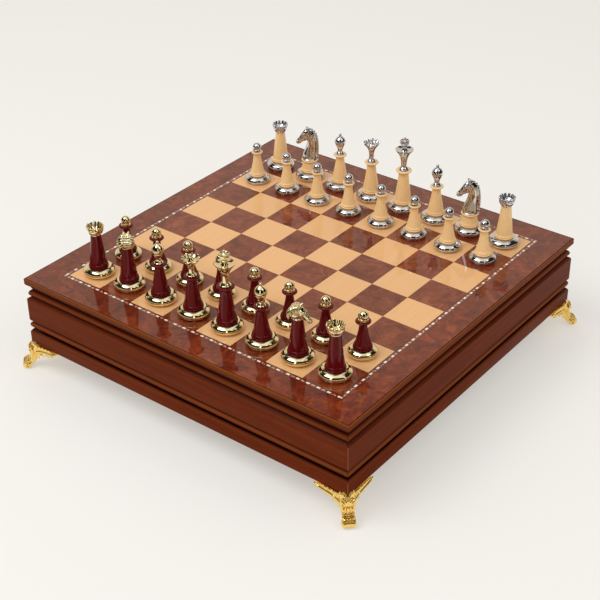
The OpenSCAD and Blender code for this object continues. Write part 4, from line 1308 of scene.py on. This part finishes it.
# %% [markdown]
# **What the polished parts mirror.** Gloss lacquer and metal look like what stands round them. The wall
# of the tent behind the box is pale and a little warm up to about 40 degrees, which lays a thin veil of
# light over the whole board, and the men in front of it mirror as dark streaks. Above that height the
# wall has one dark band. On the camera's side the tent is open, and the dark room there draws the dark
# bands on the metal. A dome that only mirrors see stands for all of this.

# %% Things that only mirrors see
def glowing(name, strength=1.0):
    """A material that gives off light of one colour. Its colour socket is left for the caller."""
    material = bpy.data.materials.new(name)
    material.use_nodes = True
    tree = material.node_tree
    tree.nodes.clear()
    glow = add(tree, "Emission", {"Strength": strength})
    add(tree, "OutputMaterial", {"Surface": glow.outputs[0]})
    return material, tree, glow.inputs["Color"]


def hang(name, shape, materials):
    """Put a shape where only mirrors see it."""
    mesh = bpy.data.meshes.new(name)
    shape.to_mesh(mesh)
    shape.free()
    for material in materials:
        mesh.materials.append(material)
    cloth = bpy.data.objects.new(name, mesh)
    scene.collection.objects.link(cloth)
    cloth.visible_camera = cloth.visible_diffuse = cloth.visible_shadow = cloth.visible_transmission = False


print("Ready to hang the tent")

# %% [markdown]
# The tent is coloured by direction: by height, with one ramp for the far side and one for the camera's
# side, and by how far a direction faces the camera's side of the room.

# %% The tent
CAMERA_SIDE = 37.9       # degrees from the front of the box towards its right, where the camera stood


def light_tent(radius):
    # the tent only glows and lights nothing: its colours are a painted reflection
    material, tree, colour_socket = glowing("tent_painted_reflection")
    way = add(tree, "VectorMath", {0: add(tree, "TexCoord").outputs["Object"]},
              operation="NORMALIZE").outputs[0]
    height = add(tree, "SeparateXYZ", {0: way}).outputs["Z"]      # sine of the elevation
    a = math.radians(CAMERA_SIDE)
    facing = add(tree, "VectorMath", {0: way, 1: (math.sin(a), -math.cos(a), 0)}, operation="DOT_PRODUCT")
    side = add(tree, "MapRange", {"Value": facing.outputs["Value"], "From Min": -0.62, "From Max": -0.25},
               interpolation_type="SMOOTHSTEP")
    far = add(tree, "ValToRGB", {"Fac": height},
              stops=[(0.0, "ece2d6"), (0.63, "e0d0bc"), (0.69, "3a3632"), (0.76, "3a3632"), (0.83, "f5f3ee")])
    near = add(tree, "ValToRGB", {"Fac": height},
               stops=[(0.0, "2c2a28"), (0.35, "1a1918"), (0.84, "2c2a28"), (0.94, "f5f3ee")])
    colour = add(tree, "Mix", {"Factor": side.outputs[0], 6: far.outputs["Color"], 7: near.outputs["Color"]},
                 data_type="RGBA")
    tree.links.new(colour.outputs[2], colour_socket)
    shape = bmesh.new()
    bmesh.ops.create_uvsphere(shape, u_segments=48, v_segments=24, radius=radius)
    bmesh.ops.delete(shape, geom=[v for v in shape.verts if v.co.z < -0.01], context="VERTS")
    hang("tent_walls", shape, [material])


light_tent(3.2)
print("The tent hangs round the box")

# %% [markdown]
# ** A black cloth.** A photographer hangs black cloth near shiny things, so that their edges stay dark.
# This one runs round the camera's side; it glows a dark colour and only mirrors see it, a painted dark
# reflection. It has a grey hem that glows too, and two narrow strips in it glow brighter than white and
# light nothing: painted highlights, the upright lines of light on round things.

# %% The black cloth
def black_cloth(radius, hem_z, top_z):
    cloths = []
    for name, hex_value, strength in (("dark_painted_reflection", "201e1c", 1.0), ("grey_hem_painted_reflection", "b0a38c", 1.0),
                                      ("painted_highlight_strip", "f5f3ee", 2.2)):
        material, tree, colour_socket = glowing(name, strength)
        colour_socket.default_value = paint(hex_value)
        cloths.append(material)
    black, hem, lamp = range(3)
    shape = bmesh.new()
    step, reach = 3, 90      # degrees
    strips = []
    for k in range(-reach, reach + 1, step):
        a = math.radians(CAMERA_SIDE + k)
        strips.append([shape.verts.new((radius * math.sin(a), -radius * math.cos(a), z))
                       for z in (*hem_z, top_z)])
    for k, (a, b) in enumerate(zip(strips, strips[1:])):
        middle = -reach + step * (k + 0.5)
        # the two narrow strips that glow brighter than white are painted highlights, not lamps
        lit = any(abs(middle - place) < 2 for place in (-12, 38))
        shape.faces.new((a[0], b[0], b[1], a[1])).material_index = hem
        shape.faces.new((a[1], b[1], b[2], a[2])).material_index = lamp if lit else black
    hang("black_cloth", shape, cloths)


black_cloth(0.42, (0.05, 0.17), 0.5)
print("The black cloth hangs on the camera's side")

# %% [markdown]
# **Camera.** It stands where the photographer's did. Its place was found by matching the corners of the
# board, the squares and the case, with squares of 45 mm, in the photograph's frame of 600 by 600.

# %% Camera
def place_camera(target, azimuth, elevation, roll, distance, focal_px):
    """target in mm, distance in mm, angles in degrees, and a focal length for a frame of 600 pixels."""
    a, e = math.radians(azimuth), math.radians(elevation)
    way = Vector((math.sin(a) * math.cos(e), -math.cos(a) * math.cos(e), math.sin(e)))
    data = bpy.data.cameras.new("camera")
    sensor, frame_px = 36.0, 600.0
    data.sensor_fit, data.sensor_width, data.sensor_height = "HORIZONTAL", sensor, sensor
    data.lens = focal_px * sensor / frame_px
    data.clip_start, data.clip_end = 0.05, 50.0
    camera = bpy.data.objects.new("camera", data)
    camera.location = Vector(target) / 1000 + way * distance / 1000
    tilt = Matrix.Rotation(math.radians(roll), 3, "Z").to_quaternion()
    camera.rotation_euler = (way.to_track_quat("Z", "Y") @ tilt).to_euler()
    scene.collection.objects.link(camera)
    scene.camera = camera
    return camera


camera = place_camera((74.3, -104.5, 139.7), 37.91, 32.33, -0.56, 1359.5, 1354.8)
scene.view_settings.view_transform = "Standard"
print("Camera at", [round(v, 3) for v in camera.location])
